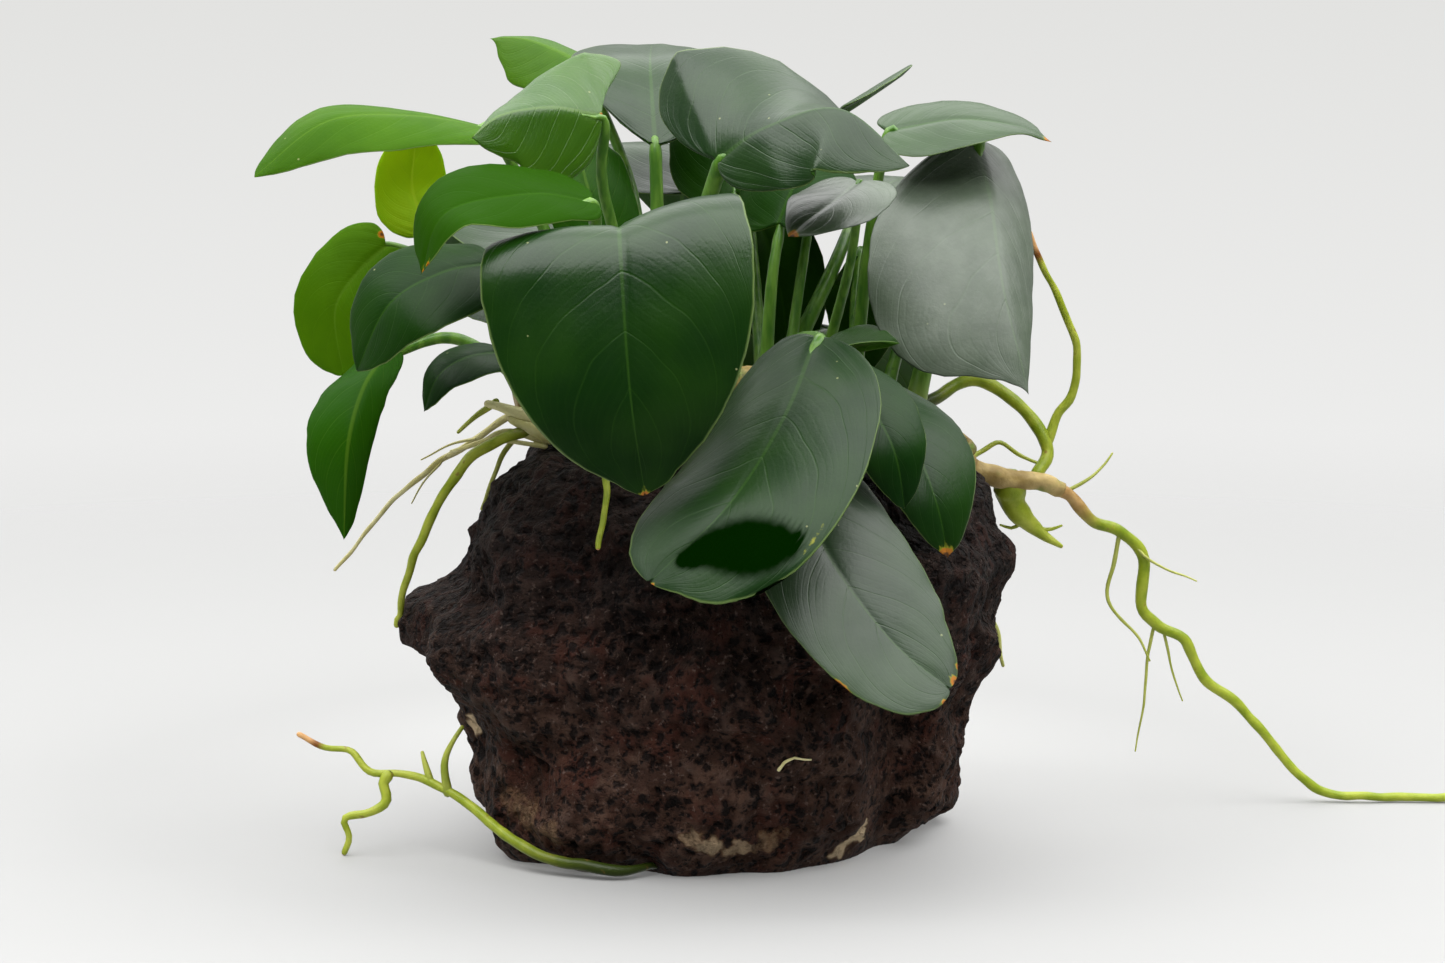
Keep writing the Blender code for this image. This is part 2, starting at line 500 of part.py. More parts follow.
# The rhizome and the roots, in millimetres: name, route, radius at the start and at the end.
RHIZOMES = (
    ("rhizome", ((-25, -6, 59), (-20, -5, 60), (-8, -3, 60), (6, 0, 60), (18, 2, 58), (28, 4, 54.5),
                 (35, 6.5, 50)), 3.0, 2.4),
    ("rhizome_end", ((37.5, 7.5, 47.8), (42, 8.5, 46.8), (46.5, 9.5, 46.2), (49.2, 10.5, 45)), 1.7, 1.15),
    ("rhizome_back_left", ((-3, 3, 60), (-5, 8, 60), (-10, 12, 60)), 2.2, 1.8),
    ("rhizome_back_right", ((7, 5.5, 60), (10, 9, 60), (13, 11.5, 59)), 2.2, 1.8),
)
ROOTS = (
    ("root_right_long",
     ((50.5, 11.5, 44), (53.7, 12.5, 40.3), (57.8, 13.5, 38.6), (61, 14, 34.8), (60.8, 14.3, 28.2),
      (63, 14.5, 25.4), (67, 14.8, 23.2), (70, 15, 17.8), (74.5, 15, 14.2), (79.5, 15, 8.8), (83.5, 15, 4),
      (88, 15, 1.3), (94, 15, 0.9), (102, 15, 0.8), (110, 15, 0.75)), 0.9, 0.55),
    ("root_right_rising",
     ((48.8, 13, 55), (50.8, 13.2, 58), (51.2, 12.5, 64.5), (49.4, 12, 69.5), (46.5, 11, 75.3),
      (44.2, 10, 80.4)), 0.7, 0.4),
    ("root_right_loop",
     ((29, 7.8, 56.6), (32.5, 12, 58), (37, 14, 60), (41.5, 14, 58.2), (45.5, 13.3, 54),
      (47.2, 12, 49.8)), 0.9, 0.9),
    ("root_right_wedge",
     ((42.3, 10.6, 44), (42.7, 10.8, 42.4), (44.2, 11, 40.6), (46.3, 10.8, 38.9), (49.2, 10.5, 37)),
     2.3, 0.3),
    ("root_left_tan",
     ((-25.5, -2.3, 57), (-31, 0, 53), (-37, 2, 49), (-44, 4, 42.5), (-50.5, 5, 34.5)), 0.55, 0.25),
    ("root_left_green",
     ((-22, -8.2, 55.8), (-26.5, -10.5, 54.3), (-30.5, -11.5, 52), (-34, -12, 47.5), (-37, -11.5, 41.5),
      (-39.5, -9, 36), (-41, -6, 29)), 0.85, 0.45),
    ("root_lower_left",
     ((-9, -30.4, 1.3), (-14, -30.8, 1.6), (-20.4, -28.4, 2.4), (-25, -25.3, 4), (-29, -21.6, 6.6),
      (-32.3, -18.8, 8.4), (-36, -17, 9.8), (-40, -16, 10.6), (-44, -15, 10.6), (-46.5, -14, 13.2),
      (-50, -14, 13.8), (-53.5, -14, 15.6)), 0.95, 0.38),
    ("root_lower_left_branch",
     ((-42.2, -16.4, 9.2), (-41.8, -17, 7), (-44.3, -17.5, 5.8), (-47.4, -17.5, 5), (-46.6, -17.5, 2.4),
      (-47.2, -17.5, 0.6)), 0.75, 0.4),
    ("root_front_short",
     ((-13, -7.5, 58), (-13, -16, 57), (-12.6, -24, 54), (-12.3, -29, 49), (-13, -32.5, 43)), 0.75, 0.35),
    ("root_right_short",
     ((34, 16, 46), (37.5, 16, 38), (39, 14, 30), (40.5, 12.5, 25), (41.5, 12, 20)), 0.7, 0.25),
    ("root_back_left",
     ((-11.5, 15.5, 58), (-15, 24, 52), (-18, 31, 42), (-16, 34, 30), (-20, 34, 19)), 0.95, 0.4),
    ("root_back_right",
     ((15, 14.5, 57), (18, 22, 52), (18, 31, 42), (23, 32, 32), (21, 33, 22)), 0.95, 0.4),
)


def make_leaf(measures, trunks, materials):
    """A blade joined to its stalk, which starts beside the rhizome and ends inside the blade's base."""
    blade = Blade(measures)
    rows, columns = SMALL_BLADE_ROWS, SMALL_BLADE_COLUMNS
    if max(measures["halves"]) >= BIG_BLADE:
        rows, columns = BIG_BLADE_ROWS, BIG_BLADE_COLUMNS
    points, faces = blade_mesh(blade, rows, columns, BLADE_THICKNESS)
    obj = add_object(measures["name"], points, faces, materials["leaf_" + measures["tone"]])
    notch, ahead, face = blade.on_midrib(0.0)
    before_notch = notch - face * 0.5 - ahead * 0.6
    inside = blade.on_midrib(STALK_END)[0] - face * 0.1
    path = smooth_path((*measures["stalk"], before_notch, inside), DENSE_SPACING)
    reach = measures["thick"] + GAP
    path = past_the_trunk(path, [(line, thick + reach) for line, thick in trunks])
    path = thinned(path, STALK_SPACING)
    radii = tapered(len(path), measures["thick"], STALK_TAPER * measures["thick"])
    points, faces = tube_mesh(path, radii, STALK_SIDES)
    stalk = add_object("joined_" + measures["name"], points, faces, materials["stalk"])
    stalk.hide_render = True
    stalk.display_type = "WIRE"
    join = obj.modifiers.new("Stalk", "BOOLEAN")
    join.operation = "UNION"
    join.solver = "EXACT"
    join.object = stalk
    return obj


def make_root(name, route, thick, thin, sides, stone_tree, material):
    """A tapered tube along the route, beside the stone. It returns its centre line."""
    path = smooth_path(route, TUBE_SPACING)
    radii = tapered(len(path), thick, thin)
    path = off_the_stone(path, radii, stone_tree)
    points, faces = tube_mesh(path, radii, sides)
    add_object(name, points, faces, material)
    return path


def main():
    clear_scene()
    materials = {
        "stone": make_material("lava_stone", (0.035, 0.018, 0.015), 0.85),
        "leaf_mature": make_material("mature_leaf", (0.012, 0.05, 0.008), 0.3),
        "leaf_fresh": make_material("fresh_leaf", (0.04, 0.16, 0.01), 0.35),
        "leaf_young": make_material("young_leaf", (0.26, 0.4, 0.005), 0.4),
        "stalk": make_material("leaf_stalk", (0.08, 0.2, 0.015), 0.45),
        "rhizome": make_material("rhizome", (0.5, 0.38, 0.16), 0.6),
        "root": make_material("root", (0.2, 0.32, 0.03), 0.5),
    }
    stone = make_stone(materials["stone"])
    corners = [corner.co / MM for corner in stone.data.vertices]
    stone_tree = BVHTree.FromPolygons(corners, [tuple(face.vertices) for face in stone.data.polygons])
    trunks = []
    for name, route, thick, thin in RHIZOMES:
        line = make_root(name, route, thick, thin, RHIZOME_SIDES, stone_tree, materials["rhizome"])
        trunks.append((smooth_path(line, DENSE_SPACING), thick))
    for name, route, thick, thin in ROOTS:
        make_root(name, route, thick, thin, ROOT_SIDES, stone_tree, materials["root"])
    for measures in LEAVES:
        make_leaf(measures, trunks, materials)


main()
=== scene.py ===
"""The looks of a dwarf anubias that grows over one porous lava stone.

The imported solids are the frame. Each leaf, stem, root and the stone gets a fine surface here, made
from the same outlines, routes and formulas as its solid, so it lies where the solid lies. The tables
are in millimetres; the objects are in metres.
"""

import math

import bmesh
import bpy
import numpy as np
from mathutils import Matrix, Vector, noise
from mathutils.bvhtree import BVHTree


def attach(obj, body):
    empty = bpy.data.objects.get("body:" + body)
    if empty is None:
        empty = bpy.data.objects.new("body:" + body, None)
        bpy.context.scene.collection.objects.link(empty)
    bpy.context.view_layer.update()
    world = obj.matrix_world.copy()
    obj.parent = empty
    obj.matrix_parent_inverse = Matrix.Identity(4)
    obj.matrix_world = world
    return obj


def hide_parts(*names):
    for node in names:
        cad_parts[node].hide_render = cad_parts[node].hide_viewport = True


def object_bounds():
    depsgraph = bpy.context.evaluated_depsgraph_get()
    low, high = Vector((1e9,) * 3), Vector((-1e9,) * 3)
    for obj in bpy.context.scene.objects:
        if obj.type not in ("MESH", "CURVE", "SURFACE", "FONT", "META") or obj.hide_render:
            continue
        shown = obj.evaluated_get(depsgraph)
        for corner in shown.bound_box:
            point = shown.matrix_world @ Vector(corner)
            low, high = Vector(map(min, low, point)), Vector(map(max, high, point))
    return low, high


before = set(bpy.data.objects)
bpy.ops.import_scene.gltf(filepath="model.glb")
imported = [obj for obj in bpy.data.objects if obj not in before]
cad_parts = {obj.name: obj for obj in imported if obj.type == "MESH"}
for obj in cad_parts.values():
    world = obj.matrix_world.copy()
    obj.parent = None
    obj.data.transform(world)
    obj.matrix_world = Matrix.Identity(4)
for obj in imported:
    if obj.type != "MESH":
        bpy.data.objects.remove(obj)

CAD_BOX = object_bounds()
MM = 0.001
# noise_vector starts from the time of day unless it is given a seed.
noise.seed_set(17)

# The camera: 85 mm on a 36 mm wide sensor, low in front of the plant. Its clip ends are in metres.
CAMERA_LENS = 85.0
CAMERA_SENSOR = 36.0
CAMERA_AIM = (2.4, 0.0, 47.4)
CAMERA_DISTANCE = 460.0
CAMERA_ELEVATION = 7.0
CAMERA_CLIP = (0.01, 20.0)

# The light: a large soft box over the front, a dimmer one over the back, and a dim room. The boxes
# (name, place, size, watts), the floor's radius and where it fades are in metres.
BOXES = (
    ("soft_box_front", (0.0, -0.36, 0.72), (1.5, 1.0), 19.5),
    ("soft_box_back", (0.0, 0.66, 0.72), (1.6, 0.9), 8.5),
)
ROOM_COLOUR = (1.0, 1.0, 0.99)
ROOM_FRONT = 0.03
ROOM_BACK = 0.55
BACKDROP_LOW = (0.872, 0.872, 0.866)
BACKDROP_HIGH = (0.757, 0.757, 0.742)
FLOOR_SHADE = (0.412, 0.412, 0.408)
FLOOR_RADIUS = 1.6
FLOOR_CLEAR = 0.15
FLOOR_GONE = 0.55
# The floor's glow, painted light that softens the shadow around the stone, in millimetres: its
# centre, where it starts to fade and where it ends.
GLOW_CENTRE = (0.0, 32.0, 0.0)
GLOW_RANGE = (20.0, 92.0)
GLOW = 0.27

# The stone, in millimetres: the solid's outline (degrees, radius), lumps (size, height) and pits
# (place, size, depth), then what only this surface has.
STONE_CENTRE = np.array((1.0, -1.0, 27.0))
STONE_OUTLINE = (
    (0, 38.4), (18, 40.5), (28, 41.0), (36, 39.5), (50, 34.0), (68, 30.0), (90, 28.3),
    (112, 30.0), (129, 34.8), (145, 36.2), (157, 34.6), (165, 35.0), (173, 39.2), (180, 40.4),
    (188, 37.6), (195, 35.4), (206, 36.4), (216, 38.6), (228, 38.2), (248, 37.2), (270, 36.6),
    (292, 37.2), (310, 39.0), (323, 39.8), (334, 36.8), (344, 35.1), (352, 36.3),
)
STONE_DEPTH_FRONT = 35.0
STONE_DEPTH_BACK = 33.0
STONE_SQUARENESS = 2.35
CREASE_X = 23.0
CREASE_WIDTH = 3.2
CREASE_DEPTH = 5.0
LUMP_SIZES = ((17.0, 3.0), (8.5, 2.6))
BIG_PITS = (
    ((-19.0, -33.0, 22.0), 4.2, 2.4), ((-24.0, -28.0, 12.0), 4.5, 2.6), ((-12.0, -36.0, 25.0), 3.4, 1.8),
    ((4.0, -36.0, 16.0), 4.0, 1.8), ((14.0, -34.0, 26.0), 3.6, 1.8), ((-6.0, -35.0, 8.0), 3.8, 1.8),
    ((-29.0, -22.0, 33.0), 3.8, 2.2), ((-2.0, -36.0, 37.0), 3.8, 2.0), ((-17.0, -29.0, 44.0), 4.0, 2.2),
    ((19.0, -31.0, 10.0), 3.8, 1.8), ((8.0, -32.0, 46.0), 4.2, 2.2), ((-33.0, -12.0, 14.0), 4.0, 2.0),
    ((35.0, -12.0, 32.0), 4.2, 2.2), ((37.0, 4.0, 20.0), 4.2, 2.2), ((38.0, 6.0, 40.0), 4.0, 2.0),
    ((-36.0, 4.0, 18.0), 4.4, 2.2), ((-37.0, 2.0, 36.0), 4.0, 2.0), ((-24.0, 22.0, 38.0), 4.0, 2.0),
    ((10.0, 33.0, 30.0), 4.6, 2.4), ((-14.0, 32.0, 16.0), 4.8, 2.4), ((30.0, 24.0, 14.0), 4.4, 2.2),
    ((-4.0, 33.0, 40.0), 4.0, 2.0), ((24.0, 27.0, 38.0), 4.2, 2.2), ((6.0, 33.0, 10.0), 4.0, 2.0),
)
STONE_FINE_GRID = 122
# Crumbs (size, height), and pores: how far apart, their radius in that unit, their depth and how far
# their places are pushed about.
CRUMBS = ((4.4, 0.3), (2.3, 0.55), (1.3, 0.45))
PORE_GAP, PORE_RADIUS, PORE_DEPTH, PORE_WARP = 3.2, 0.40, 0.5, 1.1
# The pores of the material, painted nearly black as the shade inside them: how far apart, how far
# pushed about, and where they start and end.
STONE_CELLS = ((2.3, 1.7, 0.18, 0.48), (1.3, 0.9, 0.15, 0.5), (0.6, 0.5, 0.1, 0.5))
# Tan and cream patches: place, radius, how light; and how uneven their edges are.
TAN_PATCHES = (
    ((-30.7, -9.7, 16.4), 1.9, 0.9), ((-1.2, -33.2, 6.0), 1.8, 0.65), ((1.4, -31.8, 4.6), 2.4, 0.75),
    ((4.4, -30.2, 3.9), 2.2, 0.72), ((7.4, -29.6, 4.4), 2.0, 0.55), ((10.2, -29.6, 5.4), 1.8, 0.45),
    ((18.0, -22.0, 2.5), 2.4, 1.15), ((19.8, -21.4, 3.9), 2.3, 1.15), ((-25.6, -22.0, 9.0), 2.4, 0.45),
    ((-22.6, -25.2, 7.2), 3.0, 0.5), ((-19.4, -28.8, 5.6), 2.6, 0.5), ((24.0, 22.0, 8.0), 4.2, 0.5),
    ((-12.0, 30.0, 6.0), 4.6, 0.4),
)
TAN_WANDER = 1.5

# The blades, in millimetres: the grid's rows are BLADE_ROW apart, with BLADE_COLUMNS on each half, and
# MARGIN_WAVE is how far the margin strays. A blade has VEINS side veins on each half, which arch
# towards the tip. VEIN_REACH, below 1, keeps the arch finite at the margin.
BLADE_HALF_THICKNESS = 0.27
BLADE_ROW = 0.62
BLADE_COLUMNS = 24
MARGIN_WAVE = 0.7
VEINS = 6.0
VEIN_ARCH = 0.2
VEIN_REACH = 0.93
# A blade's relief, in millimetres: the quilting between the side veins, the groove over the midrib and
# the rib under it, the broad swelling, and the ripple near the margin.
QUILT_HEIGHT = 0.035
GROOVE_DEPTH, GROOVE_WIDTH = 0.2, 0.5
RIB_HEIGHT, RIB_WIDTH = 0.42, 0.62
SWELL_HEIGHT, SWELL_SIZE = 0.24, 10.0
RIPPLE_HEIGHT, RIPPLE_SIZE = 0.22, 3.4
# The stalks, stems and roots, in millimetres. A taper is the end's share of the first radius. A stalk
# ends in the midrib, at these shares of the blade's length.
STALK_TAPER = 0.62
STALK_ENDS = (0.06, 0.16)
STALK_SIDES = 14
# How much wider a stalk is at its sheath and at its knee, how far each reaches as a share of the stalk,
# and how far below the blade the knee is.
SHEATH_SWELL, SHEATH_REACH = 0.28, 0.13
KNEE_SWELL, KNEE_REACH, KNEE_BELOW = 0.12, 0.05, 5.0
ROOT_SIDES = 10
SIDE_ROOT_SIDES = 8
SIDE_ROOT_TAPER = 0.45
# How far a root wanders and how uneven its radius is, each with the size of its bends or lumps.
ROOT_WANDER, ROOT_BEND = 0.35, 4.0
ROOT_UNEVEN, ROOT_LUMP = 0.14, 2.2
RHIZOME_SIDES = 28
RHIZOME_STEP = 0.45
# The rings of old leaf bases: how far apart and how wide, and their depth as a share of the radius.
RING_GAP, RING_WIDTH, RING_DEPTH = 2.6, 0.3, 0.05
ROUTE_STEP = 0.5
TUBE_STEP = 0.7
PRESSED = 0.8  # how much of its radius a root keeps out of the stone

# How far red, green and blue light spreads inside a blade that glows, in millimetres.
GLOW_COLOURS = (0.5, 1.0, 0.2)
PALE_RIM = (0.17, 0.26, 0.07)
# Each tone's face (dark, light, vein, rim, roughness, glow) and back (dark, light, vein, glow).
LEAF_COLOURS = {
    "mature": (
        ((0.0018, 0.0245, 0.0002), (0.0170, 0.0660, 0.0015), (0.032, 0.100, 0.006), PALE_RIM, 0.27, 0.0),
        ((0.020, 0.080, 0.002), (0.040, 0.130, 0.004), (0.08, 0.19, 0.020), 0.0)),
    "fresh": (
        ((0.016, 0.080, 0.0005), (0.062, 0.160, 0.0016), (0.10, 0.21, 0.012), PALE_RIM, 0.29, 0.1),
        ((0.032, 0.115, 0.0010), (0.064, 0.175, 0.003), (0.12, 0.25, 0.015), 0.1)),
    "young": (
        ((0.17, 0.31, 0.0004), (0.26, 0.40, 0.0010), (0.28, 0.40, 0.012), (0.30, 0.38, 0.03), 0.36, 0.3),
        ((0.15, 0.25, 0.001), (0.24, 0.35, 0.003), (0.30, 0.40, 0.02), 0.3)),
}


# ---------------------------------------------------------------- shared geometry


def unit(vectors):
    vectors = np.asarray(vectors, float)
    return vectors / np.maximum(np.linalg.norm(vectors, axis=-1, keepdims=True), 1e-9)


def smooth_step(low, high, value):
    t = np.clip((value - low) / (high - low), 0.0, 1.0)
    return t * t * (3.0 - 2.0 * t)


def smooth_path(points, spacing):
    """Points about `spacing` apart on a Catmull-Rom curve through the given ones."""
    points = [np.asarray(p, float) for p in points]
    padded = [2 * points[0] - points[1]] + points + [2 * points[-1] - points[-2]]
    path = []
    for a, b, c, d in zip(padded, padded[1:], padded[2:], padded[3:]):
        steps = max(1, round(float(np.linalg.norm(c - b)) / spacing))
        for i in range(steps):
            t = i / steps
            square = (2 * a - 5 * b + 4 * c - d) * t**2
            cube = (3 * b - a - 3 * c + d) * t**3
            path.append(0.5 * (2 * b + (c - a) * t + square + cube))
    path.append(points[-1])
    return np.array(path)


def distances(path):
    """How far along the path each of its points is."""
    return np.concatenate(([0.0], np.cumsum(np.linalg.norm(np.diff(path, axis=0), axis=1))))


def evenly(path, spacing):
    """Points about `spacing` apart along a dense path, with both of its ends."""
    along = distances(path)
    stops = np.linspace(0.0, along[-1], max(3, round(along[-1] / spacing) + 1))
    return np.stack([np.interp(stops, along, path[:, k]) for k in range(3)], axis=1)


def rough(points, size, seed):
    """Smooth noise from -1 to 1 at each point, with lumps about `size` across."""
    offset = Vector((seed * 3.7, seed * 1.9, seed * 2.3))
    return np.array([noise.noise(Vector(p) / size + offset) for p in points])


class Shape:
    """A mesh in the making: points in millimetres, faces, each face's material and point attributes."""

    def __init__(self):
        self.points = []
        self.faces = []
        self.slots = []
        self.values = {}
        self.count = 0

    def add(self, points, faces, slot=0, **values):
        """Adds one part. A value is a number, or one number or one vector for each point."""
        points = np.asarray(points, float)
        self.points.append(points)
        self.faces += [[corner + self.count for corner in face] for face in faces]
        self.slots += [slot] * len(faces)
        for name, value in values.items():
            full = np.broadcast_to(np.asarray(value, float), (len(points), *np.shape(value)[1:]))
            self.values.setdefault(name, []).append(full)
        self.count += len(points)

    def make(self, name, materials, node, slot):
        """The object, held inside the CAD box and riding on the frame in the place of the CAD node."""
        low, high = np.array(CAD_BOX) / MM
        points = np.clip(np.concatenate(self.points), low, high)
        mesh = bpy.data.meshes.new(name)
        mesh.from_pydata((points * MM).tolist(), [], self.faces)
        for material in materials:
            mesh.materials.append(material)
        mesh.polygons.foreach_set("material_index", self.slots)
        for key, parts in self.values.items():
            data = np.concatenate(parts)
            kind = "FLOAT" if data.ndim == 1 else "FLOAT_VECTOR"
            attribute = mesh.attributes.new(key, kind, "POINT")
            attribute.data.foreach_set("value" if data.ndim == 1 else "vector", data.ravel())
        mesh.shade_smooth()
        mesh.validate()
        obj = bpy.data.objects.new(name, mesh)
        bpy.context.scene.collection.objects.link(obj)
        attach(obj, "root")
        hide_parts(node)
        return obj


def tube(path, radii, sides, blunt=True):
    """Points, faces and the share along of a tube with closed ends, which are rounded if blunt."""
    path = np.asarray(path, float)
    radii = np.asarray(radii, float)
    if blunt:
        first, last = unit(path[0] - path[1]), unit(path[-1] - path[-2])
        caps = ((0.95, 0.3), (0.7, 0.72))
        path = np.concatenate((
            [path[0] + first * radii[0] * reach for reach, _ in caps], path,
            [path[-1] + last * radii[-1] * reach for reach, _ in caps[::-1]]))
        widths = np.array([width for _, width in caps])
        radii = np.concatenate((radii[0] * widths, radii, radii[-1] * widths[::-1]))
    ahead = unit(np.gradient(path, axis=0))
    side = unit(np.cross(ahead[0], (0.31, 0.53, 0.79)))
    rings = []
    turns = 2 * math.pi * np.arange(sides) / sides
    for centre, forward, radius in zip(path, ahead, radii):
        side = unit(side - forward * side.dot(forward))
        up = np.cross(forward, side)
        rings.append(centre + radius * (np.cos(turns)[:, None] * side + np.sin(turns)[:, None] * up))
    points = np.concatenate(rings)
    faces = []
    for i in range(len(path) - 1):
        for k in range(sides):
            low, low_next = i * sides + k, i * sides + (k + 1) % sides
            faces.append([low, low_next, low_next + sides, low + sides])
    faces.append(list(range(sides))[::-1])
    faces.append([(len(path) - 1) * sides + k for k in range(sides)])
    return points, faces, np.repeat(distances(path) / distances(path)[-1], sides)


def swollen(points, path, sides, amount):
    """Tube points moved away from the path's points by `amount` each, in millimetres."""
    centres = np.repeat(path, sides, axis=0)
    return points + unit(points - centres) * np.asarray(amount)[:, None]


# ---------------------------------------------------------------- materials


class Signal:
    """A node's output, in which +, - and * make Math nodes."""

    def __init__(self, graph, socket):
        self.graph = graph
        self.socket = socket

    def __add__(self, other):
        return self.graph.math("ADD", self, other)

    def __sub__(self, other):
        return self.graph.math("SUBTRACT", self, other)

    def __rsub__(self, other):
        return self.graph.math("SUBTRACT", other, self)

    def __mul__(self, other):
        return self.graph.math("MULTIPLY", self, other)


class Graph:
    """A node tree, with short calls for the nodes that are used here."""

    def __init__(self, tree):
        self.nodes = tree.nodes
        self.links = tree.links

    def put(self, socket, value):
        """Sets a socket, or links a node's output to it. A colour is given as three numbers."""
        if isinstance(value, Signal):
            self.links.new(value.socket, socket)
        elif isinstance(value, bpy.types.NodeSocket):
            self.links.new(value, socket)
        elif socket.type == "RGBA":
            socket.default_value = (*value, 1.0)
        else:
            socket.default_value = value

    def node(self, kind, inputs=(), **settings):
        """A new node. The inputs are put by their names or their numbers."""
        node = self.nodes.new("ShaderNode" + kind)
        for name, value in settings.items():
            setattr(node, name, value)
        for key, value in dict(inputs).items():
            self.put(node.inputs[key], value)
        return node

    def parts(self, vector):
        """A vector's x, y and z."""
        return [Signal(self, part) for part in self.node("SeparateXYZ", {0: vector}).outputs]

    def math(self, operation, a, b=0.0):
        return Signal(self, self.node("Math", {0: a, 1: b}, operation=operation).outputs[0])

    def over(self, value, limit):
        """1 where the value is over the limit, and 0 elsewhere."""
        return self.math("GREATER_THAN", value, limit)

    def spread(self, value, low, high, start=0.0, end=1.0):
        """The value's place between low and high, eased, mapped to start..end."""
        ends = {"Value": value, "From Min": low, "From Max": high, "To Min": start, "To Max": end}
        return Signal(self, self.node("MapRange", ends, interpolation_type="SMOOTHSTEP").outputs["Result"])

    def mix(self, share, a, b):
        """The colours a and b, mixed. The share of b is held between 0 and 1."""
        return Signal(self, self.node("Mix", {"Factor": share, 6: a, 7: b}, data_type="RGBA").outputs[2])

    def layered(self, colour, *layers):
        """The colour with others laid over it in turn, each given as (how much, colour)."""
        for share, laid in layers:
            colour = self.mix(share, colour, laid)
        return colour


class Material(Graph):
    """A material's node tree around its Principled shader. Lengths are in millimetres."""

    def __init__(self, name, roughness=0.5):
        self.material = bpy.data.materials.new(name)
        self.material.use_nodes = True
        super().__init__(self.material.node_tree)
        self.shader = self.nodes["Principled BSDF"]
        self.set(Roughness=roughness)
        metres = self.node("TexCoord").outputs["Object"]
        self.place = self.node("VectorMath", {0: metres, "Scale": 1 / MM}, operation="SCALE").outputs[0]

    def set(self, **values):
        """Puts the shader's inputs, with _ for each space in their names."""
        for name, value in values.items():
            self.put(self.shader.inputs[name.replace("_", " ")], value)
        return self.material

    def bump(self, height):
        """Bends the surface by a height."""
        self.set(Normal=self.node("Bump", {"Height": height, "Distance": MM}).outputs["Normal"])

    def noise(self, size, detail=3.0, stretch=None, rough=0.5):
        """Noise from 0 to 1 with lumps about `size` across."""
        place = self.place
        if stretch:
            place = self.node("VectorMath", {0: place, 1: stretch}, operation="MULTIPLY").outputs[0]
        shape = {"Scale": 1.0 / size, "Detail": detail, "Roughness": rough, "Vector": place}
        return Signal(self, self.node("TexNoise", shape).outputs["Fac"])

    def cells(self, size, wander=0.0):
        """(distance to the nearest of points about `size` apart, as a share of it; that point's number).

        wander: how far the places are pushed about first, so that the cells aren't round.
        """
        place = self.place
        if wander:
            push = self.node("TexNoise", {"Scale": 1.4 / size, "Detail": 3.0, "Vector": place})
            moved = {0: push.outputs["Color"], 1: (2 * wander,) * 3, 2: place}
            place = self.node("VectorMath", moved, operation="MULTIPLY_ADD").outputs[0]
        cell = self.node("TexVoronoi", {"Scale": 1.0 / size, "Vector": place})
        number = self.node("SeparateColor", {0: cell.outputs["Color"]}).outputs[0]
        return Signal(self, cell.outputs["Distance"]), Signal(self, number)

    def flecks(self, size, low, high, least):
        """Small round flecks, 1 at the middle of the cells whose number is over `least`."""
        distance, number = self.cells(size)
        return self.spread(distance, low, high, 1.0, 0.0) * self.over(number, least)

    def value(self, name):
        """A point attribute that is one number."""
        return Signal(self, self.node("Attribute", attribute_name=name).outputs["Fac"])

    def on_blade(self):
        """(fraction along the blade, signed share across it, distance from its midrib)."""
        return self.parts(self.node("Attribute", attribute_name="place").outputs["Vector"])


def vein_lines(skin, count, width):
    """1 on the side veins and 0 between: they leave the midrib and arch along towards the tip."""
    along, across, _ = skin.on_blade()
    inner = 1.0 - skin.math("ABSOLUTE", across) * VEIN_REACH
    bow = skin.math("LOGARITHM", inner, math.e) * VEIN_ARCH
    start = along + bow + (skin.noise(7.0, 1.0) - 0.5) * 0.05
    return skin.spread(skin.math("PINGPONG", start * count, 0.5), 0.0, width, 1.0, 0.0)


def midrib_line(skin, wide):
    """1 on the midrib, narrower towards the tip."""
    along, _, away = skin.on_blade()
    return skin.spread(skin.math("DIVIDE", away, (1.12 - along) * wide), 0.35, 1.0, 1.0, 0.0)


def browned(skin, colour):
    """The colour with the dead orange-brown spots laid over it, and how dead each point is."""
    mark = skin.value("brown")
    worn = (mark + (skin.noise(0.8, 3.0) - 0.5) * 0.6) * skin.over(mark, 0.001)
    rust = skin.spread(worn, 0.16, 0.26)
    colour = skin.layered(
        colour,
        (skin.spread(worn, 0.0, 0.2), (0.22, 0.24, 0.01)),
        (rust, (0.42, 0.15, 0.012)),
        (skin.spread(worn, 0.55, 0.8), (0.10, 0.04, 0.012)))
    return colour, rust


